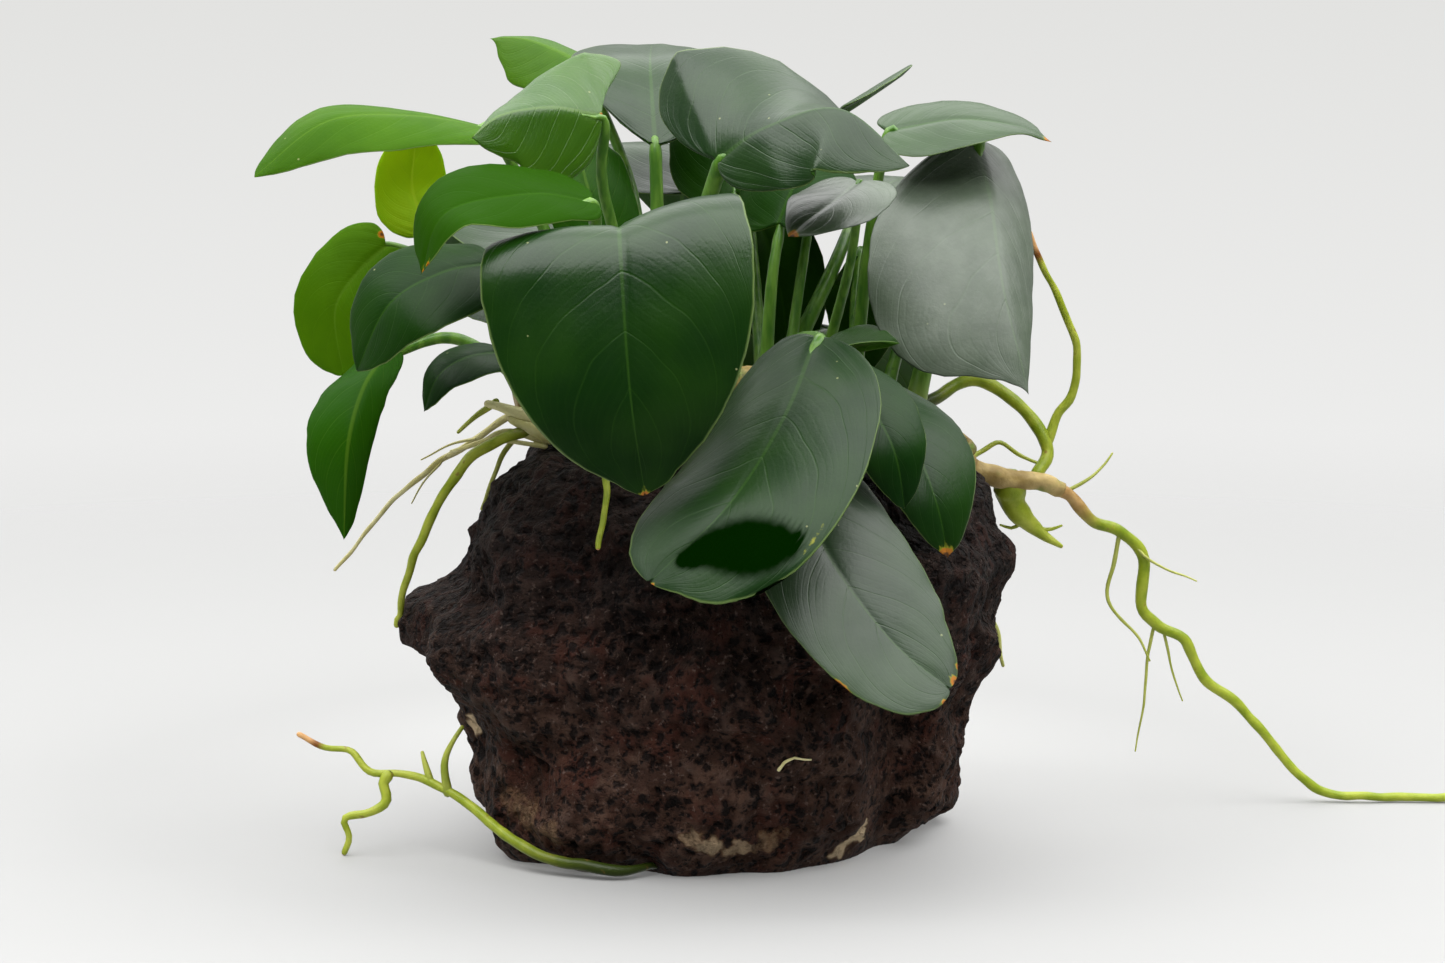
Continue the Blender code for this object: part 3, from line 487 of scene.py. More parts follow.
def leaf_face(name, sheen, dark_reflection_places, dark, light, vein, rim, gloss, glow):
    """The upper face of a blade: waxy, darker between pale veins, with a thin pale rim.

    sheen: how much of the waxy shine there is. damp: whether the leaf has places of a painted dark
    reflection. The film attribute paints a grey sheen, a reflection of the lamps, into the colour.
    """
    skin = Material(name, gloss)
    _, across, _ = skin.on_blade()
    mottle = skin.spread(skin.noise(9.0, 4.0), 0.3, 0.72)
    veins = vein_lines(skin, VEINS, 0.035)
    fine = vein_lines(skin, VEINS * 5, 0.22)
    film = skin.value("film")
    margin = skin.spread(skin.math("ABSOLUTE", across), 0.978, 0.997)
    colour = skin.layered(
        skin.mix(mottle * 0.35 + skin.value("tint"), dark, light),
        (fine * 0.04, vein),
        (veins * 0.14, vein),
        (midrib_line(skin, 0.45) * 0.45, vein),
        (margin * (0.8 - film * 3.5), rim),
        (skin.flecks(2.1, 0.05, 0.09, 0.9) * 0.5, (0.42, 0.45, 0.2)))
    painted_sheen_patches = skin.spread(skin.noise(4.0, 5.0, None, 0.6), 0.25, 0.75, 0.7, 1.15)
    shine = 0.5 * sheen
    skin.set(Specular_IOR_Level=shine)
    # The dark places are a painted dark reflection: nearly black green, without the shine or the painted
    # sheen.
    if dark_reflection_places:
        mark = skin.value("dark")
        ragged = (skin.noise(1.2, 3.0) - 0.5) * 0.16
        painted_dark_reflection = skin.spread((mark + ragged) * skin.over(mark, 0.01), 0.0, 0.42)
        dry = 1.0 - painted_dark_reflection
        colour = skin.mix(painted_dark_reflection * 0.97, colour, (0.0008, 0.0088, 0.0001))
        painted_sheen_patches = painted_sheen_patches * dry
        skin.set(Specular_IOR_Level=dry * shine)
    # A grey painted sheen, a reflection of the lamps laid into the colour in patches.
    colour, worn = browned(skin, skin.mix(film * painted_sheen_patches, colour, (0.23, 0.26, 0.21)))
    roughness = skin.noise(3.0, 4.0) * 0.10 + film * 0.36 + worn * 0.3 + (gloss + 0.15 * (1.0 - sheen))
    skin.bump(skin.noise(0.5, 3.0) * 0.026 + skin.noise(0.22, 2.0) * 0.006 - veins * 0.014 - fine * 0.006)
    return skin.set(Base_Color=colour, Roughness=roughness, IOR=1.46, Subsurface_Weight=glow,
                    Subsurface_Scale=MM, Subsurface_Radius=GLOW_COLOURS)


def leaf_back(name, sheen, dark, light, vein, glow):
    """The underside of a blade: paler and less glossy, with raised veins."""
    skin = Material(name)
    mottle = skin.spread(skin.noise(7.0, 4.0), 0.3, 0.7)
    veins = vein_lines(skin, VEINS, 0.09)
    colour = skin.layered(
        skin.mix(mottle * 0.5 + skin.value("tint"), dark, light),
        (veins * 0.15, vein),
        (midrib_line(skin, 1.3) * 0.6, vein))
    colour, _ = browned(skin, colour)
    skin.bump(skin.noise(0.5, 3.0) * 0.03 + veins * 0.05)
    return skin.set(Base_Color=colour, Roughness=0.47, IOR=1.43, Specular_IOR_Level=0.45 * sheen,
                    Subsurface_Weight=glow, Subsurface_Scale=MM, Subsurface_Radius=GLOW_COLOURS)


def stalk_material():
    skin = Material("leaf_stalk", 0.38)
    streak = skin.spread(skin.noise(1.1, 3.0, (1.0, 1.0, 0.16)), 0.3, 0.7)
    colour = skin.layered(
        skin.mix(streak, (0.055, 0.17, 0.012), (0.15, 0.31, 0.035)),
        (skin.spread(skin.value("along"), 0.16, 0.0), (0.33, 0.42, 0.11)),
        (skin.flecks(1.6, 0.1, 0.16, 0.8) * 0.4, (0.02, 0.06, 0.01)))
    skin.bump(skin.noise(0.5, 2.0, (1.0, 1.0, 0.2)) * 0.05)
    return skin.set(Base_Color=colour, IOR=1.45, Coat_Weight=0.2, Coat_Roughness=0.25)


def rhizome_material():
    skin = Material("rhizome_skin", 0.55)
    blotch = skin.spread(skin.noise(4.5, 5.0), 0.38, 0.66)
    colour = skin.layered(
        skin.mix(blotch, (0.34, 0.23, 0.065), (0.62, 0.46, 0.18)),
        (skin.spread(skin.noise(7.0, 3.0), 0.55, 0.7), (0.16, 0.26, 0.04)),
        (skin.spread(skin.value("ring"), 0.1, 0.9, 0.0, 0.7), (0.20, 0.12, 0.05)),
        (skin.spread(skin.noise(0.8, 4.0), 0.62, 0.75, 0.0, 0.6), (0.09, 0.05, 0.025)))
    skin.bump(skin.noise(0.6, 4.0) * 0.12)
    return skin.set(Base_Color=colour, IOR=1.45)


def root_material():
    """Roots shift from their own colour to a dry or fresh tip, by the attributes that each carries."""
    skin = Material("root_skin", 0.42)
    tipward = skin.value("tipward")
    patch = skin.spread(skin.noise(2.6, 4.0), 0.3, 0.7)
    colour = skin.layered(
        skin.mix(patch, (0.14, 0.23, 0.004), (0.32, 0.39, 0.018)),
        (skin.value("bright"), skin.mix(patch, (0.44, 0.50, 0.030), (0.62, 0.66, 0.110))),
        (skin.value("pale"), skin.mix(patch, (0.62, 0.55, 0.21), (0.80, 0.74, 0.40))),
        # A dark start: painted shade where the stone and the leaves shade the root.
        (skin.value("dim"), (0.030, 0.048, 0.004)),
        (skin.value("bark"), skin.mix(patch, (0.34, 0.17, 0.045), (0.60, 0.40, 0.16))),
        (skin.spread(tipward, 0.0, 0.3), (0.24, 0.085, 0.014)),
        (skin.spread(tipward, 0.3, 0.6), (0.72, 0.40, 0.16)),
        (skin.spread(skin.noise(1.3, 4.0), 0.63, 0.76, 0.0, 0.7), (0.22, 0.12, 0.03)))
    skin.bump(skin.noise(0.35, 3.0) * 0.06)
    return skin.set(Base_Color=colour, IOR=1.45, Specular_IOR_Level=0.35,
                    Coat_Weight=0.06, Coat_Roughness=0.3)


def stone_material():
    """Porous lava: dark red-brown, with a painted highlight on its crests and painted shade in its pores."""
    skin = Material("lava_stone", 0.7)
    _, _, high = skin.parts(skin.place)
    # low is 1 towards the bottom, where the stone is warmer and lighter, with its light lumps. With the
    # darkening towards the top below, this is partly its own tone and partly painted shade from the leaves.
    low = skin.spread(high, 34.0, 6.0)
    crest, patch = skin.value("crest"), skin.value("tan")
    black = (0.0045, 0.0024, 0.0020)
    broad = skin.spread(skin.noise(13.0, 4.0), 0.32, 0.68)
    small = skin.spread(skin.noise(1.8, 6.0, None, 0.7), 0.36, 0.68)
    lump = skin.spread(skin.noise(4.6, 4.0, None, 0.6), 0.47, 0.64) * low
    ragged = (skin.noise(1.5, 5.0, None, 0.65) - 0.5) * 1.4
    tan = skin.spread(patch + ragged, 0.15, 0.6) * (patch * 1.1)
    light = skin.mix(skin.spread(patch, 0.4, 1.0), (0.22, 0.125, 0.06), (0.78, 0.60, 0.38))
    cave, hollow, pit = [skin.spread(skin.cells(size, wander)[0], inner, outer)
                         for size, wander, inner, outer in STONE_CELLS]
    plain = 1.0 - tan
    colour = skin.layered(
        skin.mix(broad, (0.0075, 0.0036, 0.0025), (0.0190, 0.0084, 0.0054)),
        (low * 0.75, (0.060, 0.0260, 0.0150)),
        (small * 0.7, (0.064, 0.030, 0.0195)),
        (lump * 0.7, (0.135, 0.074, 0.050)),
        # Lighter on the crests of the relief: a painted highlight.
        (skin.spread(crest, 0.2, 1.0) * 0.6, (0.115, 0.072, 0.056)),
        (skin.spread(skin.noise(5.5, 3.0), 0.5, 0.66) * 0.6, (0.070, 0.0175, 0.009)),
        # Small pale flecks: painted glints.
        (skin.spread(skin.noise(0.75, 4.0, None, 0.6), 0.58, 0.70, 0.0, 0.7), (0.17, 0.115, 0.095)),
        (tan, light),
        # Darker in the hollows of the relief: painted shade.
        (skin.spread(crest, -0.1, -1.0), (0.003, 0.0018, 0.0015)),
        # The pores, nearly black: painted shade inside them.
        (skin.spread(cave, 0.8, 0.0, 0.0, 0.85) * plain, black),
        (skin.spread(hollow, 0.7, 0.0, 0.0, 0.85) * plain, black),
        (skin.spread(pit, 0.5, 0.0, 0.0, 0.5) * plain, black),
        # Darker towards the top: painted shade from the leaves above.
        (skin.spread(high, 26.0, 44.0) * 0.55, black))
    skin.bump(cave * 0.9 + hollow * 0.6 + pit * 0.25 + skin.noise(0.9, 6.0, None, 0.7) * 0.8)
    return skin.set(Base_Color=colour, IOR=1.5, Specular_IOR_Level=0.2)


# ---------------------------------------------------------------- the stone


def stone_points(directions):
    """Where the solid's surface lies in each direction from the stone's centre.

    Its front is drawn back at the lower right, beyond the crease.
    """
    x, y, z = directions.T
    angles = np.array([a for a, _ in STONE_OUTLINE] + [360.0])
    radii = np.array([r for _, r in STONE_OUTLINE] + [STONE_OUTLINE[0][1]])
    reach = np.interp(np.degrees(np.arctan2(z, x)) % 360.0, angles, radii)
    depth = np.where(y < 0, STONE_DEPTH_FRONT, STONE_DEPTH_BACK)
    power = STONE_SQUARENESS
    radius = ((np.hypot(x, z) / reach) ** power + (np.abs(y) / depth) ** power) ** (-1 / power)
    points = STONE_CENTRE + radius[:, None] * directions
    for number, (size, height) in enumerate(LUMP_SIZES):
        offset = Vector((7.3 * number, 3.1, 1.7))
        radius = radius + height * np.array([noise.noise(Vector(p / size) + offset) for p in points])
    points = STONE_CENTRE + radius[:, None] * directions
    front = points[:, 1] < 0
    low = smooth_step(34.0, 16.0, points[:, 2])
    points[:, 1] *= np.where(front, 1.0 - 0.34 * smooth_step(20.0, 27.0, points[:, 0]) * low, 1.0)
    groove = np.exp(-(((points[:, 0] - CREASE_X) / CREASE_WIDTH) ** 2))
    sunk = CREASE_DEPTH * groove * low * smooth_step(-6.0, -20.0, points[:, 1])
    points[:, 1] += np.where(front, sunk, 0.0)
    for place, size, depth in BIG_PITS:
        away = np.linalg.norm(points - np.array(place), axis=1)
        points = points - unit(points - STONE_CENTRE) * (depth * np.exp(-((away / size) ** 2)))[:, None]
    return points


def pore_depth(point):
    """How deep a round pore is at this point. Pores are scattered, and each has its own width."""
    point = Vector(point)
    point = point + PORE_WARP * noise.noise_vector(point / 1.7)
    found, centres = noise.voronoi(point / PORE_GAP + Vector((5.0, 5.0, 5.0)))
    wide = PORE_RADIUS * (0.5 + 1.3 * abs(noise.noise(centres[0] * 7.7)))
    return PORE_DEPTH * max(0.0, 1.0 - (found[0] / wide) ** 2) ** 0.5


def make_stone(material):
    """The stone, from a cube with a fine grid whose points are moved out to the solid's surface."""
    shape = bmesh.new()
    bmesh.ops.create_cube(shape, size=2.0)
    bmesh.ops.subdivide_edges(shape, edges=shape.edges, cuts=STONE_FINE_GRID - 1, use_grid_fill=True)
    shape.verts.ensure_lookup_table()
    corners = np.array([corner.co for corner in shape.verts])
    faces = [[corner.index for corner in face.verts] for face in shape.faces]
    shape.free()
    directions = unit(np.tan(corners * math.pi / 4))
    points = stone_points(directions)
    outward = unit(points - STONE_CENTRE)
    height = np.zeros(len(points))
    for number, (size, amount) in enumerate(CRUMBS):
        height += amount * rough(points, size, 11 + number)
    height -= np.array([pore_depth(p) for p in points])
    # crest, the relief's height, sets the painted highlight on the crests and the painted shade in the
    # hollows.
    crest = np.clip(height / 1.1 + 0.25, -1.0, 1.0)
    height *= smooth_step(0.0, 2.5, points[:, 2])
    points = points + outward * height[:, None]
    points[:, 2] = np.maximum(points[:, 2], 0.0)
    tan = np.zeros(len(points))
    wander = [rough(points, 2.1, 60 + k) + 0.5 * rough(points, 0.9, 70 + k) for k in range(3)]
    wandered = points + TAN_WANDER * np.stack(wander, axis=1)
    for place, size, amount in TAN_PATCHES:
        away = np.linalg.norm(wandered - np.array(place), axis=1)
        tan = np.maximum(tan, amount * smooth_step(size * 1.15, size * 0.6, away))
    body = Shape()
    body.add(points, faces, crest=crest, tan=tan)
    return body.make("lava_stone", [material], "stone", "stone")


# ---------------------------------------------------------------- leaves


def half_outline(u, broad, lobe, blunt):
    """(along, across) on the margin of one half, as in the solid, for an array of u."""
    first = u < 0.5
    t = np.where(first, 2 * u, 2 * u - 1)
    weights = ((1 - t) ** 3, 3 * t * (1 - t) ** 2, 3 * t * t * (1 - t), t**3)
    near = ((0.0, 0.0), (-2.2 * lobe, 0.5), (broad - 0.36, 1.0), (broad, 1.0))
    far = ((broad, 1.0), (broad + 0.36, 1.0), (0.8 + 0.3 * blunt, 0.1 + 0.5 * blunt), (1.0, 0.0))
    parts = []
    for k in range(2):
        low = sum(weight * end[k] for weight, end in zip(weights, near))
        high = sum(weight * end[k] for weight, end in zip(weights, far))
        parts.append(np.where(first, low, high))
    return parts


def bent(across, fold, curl):
    """Where strips of length `across` end that leave at the angle `fold` and turn by `curl` a unit."""
    start = np.radians(fold)
    turn = math.radians(curl)
    if abs(turn) < 1e-4:
        return across * np.cos(start), across * np.sin(start)
    end = start + turn * across
    return (np.sin(end) - np.sin(start)) / turn, (np.cos(start) - np.cos(end)) / turn


class Blade:
    """A leaf's surface, as in the solid, evaluated over whole grids at once."""

    def __init__(self, leaf):
        self.leaf = leaf
        self.path = smooth_path(leaf["midrib"], 0.4)
        self.along = distances(self.path)
        self.length = float(self.along[-1])

    def at(self, place):
        return np.stack([np.interp(place, self.along, self.path[:, k]) for k in range(3)], axis=-1)

    def on_midrib(self, s):
        """(point, direction, face normal) at the fractions s, straight on beyond both ends."""
        share = np.clip(s, 0.0, 1.0)[..., None]
        place = share[..., 0] * self.length
        ahead = unit(self.at(place + 0.6) - self.at(place - 0.6))
        point = self.at(place) + ahead * (np.asarray(s)[..., None] - share) * self.length
        face = (1 - share) * unit(self.leaf["face"][0]) + share * unit(self.leaf["face"][1])
        return point, ahead, unit(face - ahead * np.sum(face * ahead, axis=-1, keepdims=True))

    def half(self, u, share, right):
        """(points, fraction along, distance from the midrib) of one half over u rows and share columns."""
        leaf = self.leaf
        along, across = half_outline(u, leaf["broad"][right], leaf["lobe"][right], leaf["blunt"][right])
        rib = u**2.2
        s = rib + (along - rib) * share**1.5
        across = across * share
        width = leaf["halves"][right]
        tipwards = np.clip(s, 0.0, 1.0)
        fold = (1 - tipwards) * leaf["fold"][right] + tipwards * leaf["tip_fold"][right]
        out, up = bent(across, fold, leaf["curl"][right])
        up = up + leaf["wave"] / width * np.sin(9.5 * s + (2.0 if right else 0.0)) * across**2
        centre, ahead, face = self.on_midrib(s)
        side = np.cross(ahead, face) if right else np.cross(face, ahead)
        points = centre + width * (out[..., None] * side + up[..., None] * face)
        return points, s, across * width

    def grid(self, rows, columns):
        """The whole surface: points, fraction along, signed share across and distance from the midrib."""
        even = np.linspace(0.0, 1.0, rows + 1)
        u = (0.5 * even + 0.25 * (1 - np.cos(math.pi * even)))[:, None]
        share = (1 - (1 - np.linspace(0.0, 1.0, columns + 1)) ** 1.5)[None, :]
        left = [part[:, ::-1] for part in self.half(u, share, False)]
        right = [part[:, 1:] for part in self.half(u, share, True)]
        points, s, away = (np.concatenate(pair, axis=1) for pair in zip(left, right))
        signed = np.concatenate((-share[:, ::-1], share[:, 1:]), axis=1)
        return points, s, np.broadcast_to(signed, s.shape), away, u


def grid_normals(points):
    across = np.gradient(points, axis=1)
    along = np.gradient(points, axis=0)
    normals = unit(np.cross(across, along))
    normals[0] = unit(normals[1].mean(axis=0))
    normals[-1] = unit(normals[-2].mean(axis=0))
    return normals


def blade_faces(rows, columns):
    """Faces of two sheets that share the margin, the notch and the tip, and the second sheet's indices."""
    wide = 2 * columns + 1
    top = np.arange((rows + 1) * wide).reshape(rows + 1, wide)
    top[0] = top[0, 0]
    top[-1] = top[-1, 0]
    under = top.copy()
    inner = top[1:-1, 1:-1]
    under[1:-1, 1:-1] = (rows + 1) * wide + np.arange(inner.size).reshape(inner.shape)
    found = []
    for sheet, turned in ((top, True), (under, False)):
        quads = np.stack((sheet[:-1, :-1], sheet[1:, :-1], sheet[1:, 1:], sheet[:-1, 1:]), axis=-1)
        for quad in quads.reshape(-1, 4).tolist():
            face = list(dict.fromkeys(quad))
            if len(face) > 2:
                found.append(face[::-1] if turned else face)
        if sheet is top:
            upper_count = len(found)
    return found, upper_count


def pair(value):
    return value if isinstance(value, tuple) else (value, value)


def leaf(name, tone, midrib, face, halves, stalk, thick=1.0, broad=0.32, lobe=0.07, blunt=0.45,
         fold=4, tip_fold=None, curl=-18, wave=0.0, tint=0.0, sheen=1.0, film=0.0, spots=(), dark_reflection_places=()):
    """One leaf's measures in millimetres and degrees, and its looks.

    midrib: from the notch to the tip. face: the upper face's direction at both ends. halves: the
    widths of the left and the right half, seen from above with the tip ahead. broad, lobe, blunt,
    fold, tip_fold and curl: one value, or the left and the right half's. fold and curl are positive
    upwards, and fold turns into tip_fold towards the tip.
    stalk: points from the rhizome up to, but without, the notch. thick: its radius at the rhizome.
    tint: how light it is, up to 1. sheen: how much of the waxy shine it has. film: how much grey sheen,
    a painted reflection of the lamps, lies over it. spots and damp: the dead places, and the places of a
    painted dark reflection, each (share of the way along the margin, signed share across, radius).
    """
    if tip_fold is None:
        tip_fold = fold
    return dict(name=name, tone=tone, midrib=midrib, face=face, halves=halves, stalk=stalk, thick=thick,
                broad=pair(broad), lobe=pair(lobe), blunt=pair(blunt), fold=pair(fold),
                tip_fold=pair(tip_fold), curl=pair(curl), wave=wave, tint=tint, sheen=sheen, film=film,
                spots=spots, dark_reflection_places=dark_reflection_places)


LEAVES = (
    # The leaves over the front, from the nearest one back.
    leaf("leaf_front_heart", "mature",
         midrib=((-10.5, -34.5, 81), (-10.2, -40, 83.4), (-9.8, -45, 79), (-8.7, -47.5, 64),
                 (-7, -45, 51.2)),
         face=((0, 0.1, 1), (-0.05, -1, -0.1)), halves=(16.3, 17.3), broad=0.36, lobe=(0.11, 0.08),
         fold=(30, 4), tip_fold=6, curl=-24, stalk=((-9, -5, 60), (-10, -17, 76)), thick=1.3, tint=0.05,
         spots=((1.0, 0.0, 0.75),)),
    leaf("leaf_upper_left", "mature",
         midrib=((-13.8, -28.5, 86), (-21, -34.5, 87.2), (-31, -39, 85.4), (-34.4, -40, 77.8)),
         face=((0.1, -0.5, 0.86), (-0.9, -0.45, 0.2)), halves=(7.5, 10.5), broad=(0.45, 0.35),
         lobe=(0.0, 0.06), fold=(8, 4), stalk=((-13, -5, 60), (-14, -16, 76)), thick=1.2, tint=1.0,
         sheen=0.02, spots=((0.9, -1.0, 0.5), (0.98, -0.9, 0.45))),
    leaf("leaf_lower_middle", "mature",
         midrib=((14.3, -27, 69), (10.1, -37, 60), (3.3, -45, 50), (-6.3, -47, 41)),
         face=((-0.3, -0.7, 0.6), (-0.3, -0.8, 0.45)), halves=(13.3, 13.6), broad=(0.55, 0.52),
         lobe=(0.0, 0.04), blunt=(0.55, 0.8), fold=(4, 0), curl=(-16, -46),
         stalk=((11, 0, 60), (12, -13, 67)), thick=1.2, sheen=0.66, film=0.02,
         spots=((0.57, -0.93, 0.08), (0.98, -1.0, 0.35)),
         # Its dark places, a painted dark reflection.
         dark_reflection_places=((0.925, -0.46, 1.7), (0.90, -0.49, 2.3), (0.87, -0.53, 2.9), (0.84, -0.57, 3.5),
               (0.81, -0.61, 4.1), (0.78, -0.66, 4.7), (0.75, -0.70, 5.1), (0.72, -0.74, 4.9),
               (0.69, -0.77, 4.0), (0.66, -0.81, 2.9), (0.64, -0.84, 2.0))),
    leaf("leaf_lower_right", "mature",
         midrib=((11, -31, 53), (15.7, -39, 42.5), (22.9, -44, 33.2), (30.1, -46, 27.6)),
         face=((0.2, -0.8, 0.5), (0.2, -0.8, 0.55)), halves=(10.3, 9.8), broad=(0.45, 0.5),
         blunt=(0.7, 0.95), fold=8, stalk=((18, 1, 59), (14, -16, 63), (11, -27, 58)), thick=1.1, film=0.10,
         spots=((0.63, 1.0, 0.5), (0.96, -1.0, 0.75), (0.90, -1.0, 0.4), (0.93, 1.0, 0.5))),
    leaf("leaf_right_dark", "mature",
         midrib=((17, -25, 65), (20.3, -30, 61.5), (23.7, -33.5, 55.5), (25.2, -33, 48)),
         face=((0.25, -0.7, 0.7), (0.25, -0.95, 0.2)), halves=(6, 6.5), stalk=((21, 2, 58), (18, -16, 66)),
         sheen=0.5),
    leaf("leaf_right_small", "mature",
         midrib=((21.4, -18, 60.5), (26.3, -24, 55.5), (29.3, -27.5, 48.5), (31, -27.5, 41)),
         face=((0.3, -0.6, 0.7), (0.3, -0.95, 0.2)), halves=(8.3, 6.5), stalk=((26, 4, 56), (22, -10, 62)),
         sheen=0.65, spots=((0.98, 0.75, 1.3),)),
    leaf("leaf_edge_right", "mature",
         midrib=((16.5, -10, 65.4), (21, -12, 66.6), (25.5, -14, 67.2)),
         face=((-0.3, -0.2, 0.97), (-0.2, -0.1, 0.97)), halves=(5, 5), fold=30, blunt=0.2,
         stalk=((16, 1, 59), (15.5, -3, 63)), thick=0.8, tint=0.5, sheen=0.5),
    leaf("leaf_grey_right", "mature",
         midrib=((36.5, 6, 93), (38, -2, 85.3), (39.2, -10, 73.9), (42.2, -15, 60.6)),
         face=((-0.1, -0.75, 0.65), (-0.1, -0.9, 0.4)), halves=(6.5, 17.5), broad=(0.32, 0.58), lobe=0.0,
         blunt=0.2, fold=(-30, 6), curl=(-20, -14), stalk=((28, 5, 55), (33, 8, 76)), thick=1.3, sheen=1.5,
         film=0.38),
    leaf("leaf_wavy_top", "mature",
         midrib=((1.8, -23, 91), (8, -26, 95.4), (17, -29, 97.6), (25.6, -32, 90.8)),
         face=((-0.1, -0.75, 0.65), (0.2, -0.5, 0.8)), halves=(19, 10), broad=(0.14, 0.5),
         lobe=(0.13, 0.02), blunt=(0.15, 0.5), fold=(14, -4), tip_fold=(-90, -20), curl=(-16, -16),
         wave=0.2, stalk=((-2, -3, 60), (-1.5, -14, 77)), thick=1.5, film=0.02),
    leaf("leaf_small_under", "mature",
         midrib=((20, -13, 88), (17, -19, 86), (13.6, -23, 83.7), (10.7, -25, 81.6)),
         face=((-0.2, -0.6, 0.8), (-0.3, -0.7, 0.6)), halves=(6.5, 6.5), stalk=((15, 1, 60), (19, -6, 76)),
         thick=0.8, tint=0.3, sheen=1.7, film=0.25, spots=((0.97, -0.97, 0.9),)),
    leaf("leaf_hooked_right", "mature",
         midrib=((24.8, 2, 94.2), (33.5, 1.5, 95.8), (41.5, -0.5, 94.9), (46, -3, 93)),
         face=((0, -0.45, 0.9), (0.5, -0.4, 0.75)), halves=(7.2, 7.6), blunt=0.1,
         stalk=((20, 3, 58), (22, 4, 78)), tint=0.45, film=0.06, spots=((0.98, 0.0, 0.6),)),
    leaf("leaf_folded_top_left", "fresh",
         midrib=((-13.1, -15, 96.6), (-19.1, -19, 97.8), (-25.5, -22, 96.8), (-29.3, -24, 94)),
         face=((0, -0.2, 1), (-0.3, -0.2, 0.9)), halves=(10, 12), fold=(-72, 42), tip_fold=(-72, 0),
         curl=-10, broad=(0.42, -0.18), lobe=(0.0, 0.02), blunt=(0.6, -0.25),
         stalk=((-7, -3, 60), (-10.5, -8, 76), (-13.2, -12, 88)), tint=0.25, sheen=1.3,
         spots=((0.0, 0.0, 0.5),)),
    leaf("leaf_grey_left", "mature",
         midrib=((-27.6, -22, 77.9), (-33.3, -25, 76.8), (-39.6, -26, 73.1), (-44.1, -24, 64.5)),
         face=((0, -0.45, 0.9), (-0.6, -0.7, 0.3)), halves=(9, 9), stalk=((-17, -4, 60), (-22, -13, 71)),
         tint=0.15, sheen=0.28),
    leaf("leaf_far_left", "fresh",
         midrib=((-28.3, 0, 94.6), (-37.5, -4, 96.4), (-48.8, -9, 95.8), (-58.4, -12, 88.8)),
         face=((0, -0.25, 0.97), (-0.5, -0.8, 0.3)), halves=(7.5, 7), broad=0.42, fold=(0, -12),
         stalk=((-15, -3, 60), (-21, 1, 80)), tint=0.45, sheen=0.12),
    leaf("leaf_hanging_left", "fresh",
         midrib=((-42.3, -8, 65.1), (-44.6, -13, 61.1), (-46.3, -16, 53.6), (-47.2, -14, 41.4)),
         face=((-0.2, -0.6, 0.75), (0, -0.95, -0.2)), halves=(3.4, 8.2), fold=-22, curl=-10,
         blunt=(0.6, 0.3), stalk=((-22, -5, 60), (-33, -4, 67)), tint=-0.35, sheen=0.12),
    leaf("leaf_dark_left", "mature",
         midrib=((-27, -9, 65.5), (-31, -13, 65.2), (-34.4, -15, 63), (-36.4, -15.5, 58.4)),
         face=((0, -0.4, 0.9), (-0.8, -0.5, 0.3)), halves=(5.8, 5), broad=0.28,
         stalk=((-20, -5, 60), (-24, -7, 64)), thick=0.7, sheen=0.2),
    leaf("leaf_round_left", "fresh",
         midrib=((-43.3, 7, 78.7), (-47, 6, 75.2), (-50, 5, 70), (-49, 4.5, 61.4)),
         face=((-0.3, -0.9, 0.3), (-0.3, -1, 0)), halves=(7, 7), blunt=0.8,
         stalk=((-19, -4, 60), (-32, 7, 74)), thick=0.8, tint=0.8, sheen=0.05, spots=((0.1, 0.8, 0.7),)),
    leaf("leaf_young_left", "young",
         midrib=((-38, 10, 80.9), (-40, 11.5, 86), (-39.8, 11.5, 90.6), (-39, 11, 94.7)),
         face=((0.4, -0.8, 0.2), (0.4, -0.8, 0.1)), halves=(5.6, 5.6), blunt=0.7,
         stalk=((-16, -4, 60), (-29, 10, 73)), thick=0.7, sheen=0.15),
    # The leaves over the top.
    leaf("leaf_top_back_left", "fresh",
         midrib=((-17, 15.5, 103.3), (-20.5, 18.5, 105), (-25.2, 22, 106.6), (-30.2, 25, 106.8)),
         face=((0, -0.2, 0.95), (-0.2, -0.3, 0.95)), halves=(7, 6), fold=(-35, -10), broad=0.45, blunt=0.2,
         stalk=((-9, -2, 60), (-9.5, 10, 84)), tint=0.5, sheen=0.3),
    leaf("leaf_top_middle", "mature",
         midrib=((-6.5, -3, 92.6), (-7, 2, 98.5), (-7.4, 9, 103.4), (-7.4, 20, 106)),
         face=((0, -0.7, 0.7), (0, -0.1, 1)), halves=(11, 10), broad=(0.8, 0.62), lobe=(-0.06, 0.0),
         stalk=((-5, -2, 60), (-6, -4, 77)), thick=1.2),
    leaf("leaf_thin_back_right", "mature",
         midrib=((19, 24, 97), (24, 27, 99.8), (29.3, 31, 103)),
         face=((-0.55, 0.05, 0.83), (-0.55, 0.05, 0.83)), halves=(6, 6),
         stalk=((11, 7, 60), (14, 12, 80), (16, 18, 91)), thick=0.8, tint=0.5),
    # The leaves at the back and between the others.
    leaf("leaf_back_middle", "mature",
         midrib=((0, 21, 86), (-1, 32, 91), (-3, 43, 88), (-4, 51, 79)),
         face=((0, 0.4, 0.9), (0, 0.9, 0.4)), halves=(14, 14), stalk=((0, 8, 60), (0, 13, 76)), thick=1.3,
         spots=((0.7, -1.0, 0.8), (1.0, 0.0, 0.6))),
    leaf("leaf_back_right", "mature",
         midrib=((21, 20, 83), (28, 29, 87), (35, 37, 84), (39, 42, 75)),
         face=((0.3, 0.3, 0.9), (0.6, 0.7, 0.4)), halves=(12.5, 12), stalk=((10, 9, 60), (17, 13, 74)),
         thick=1.2, tint=0.3, film=0.12, spots=((0.99, 0.4, 1.1), (0.45, 1.0, 0.7))),
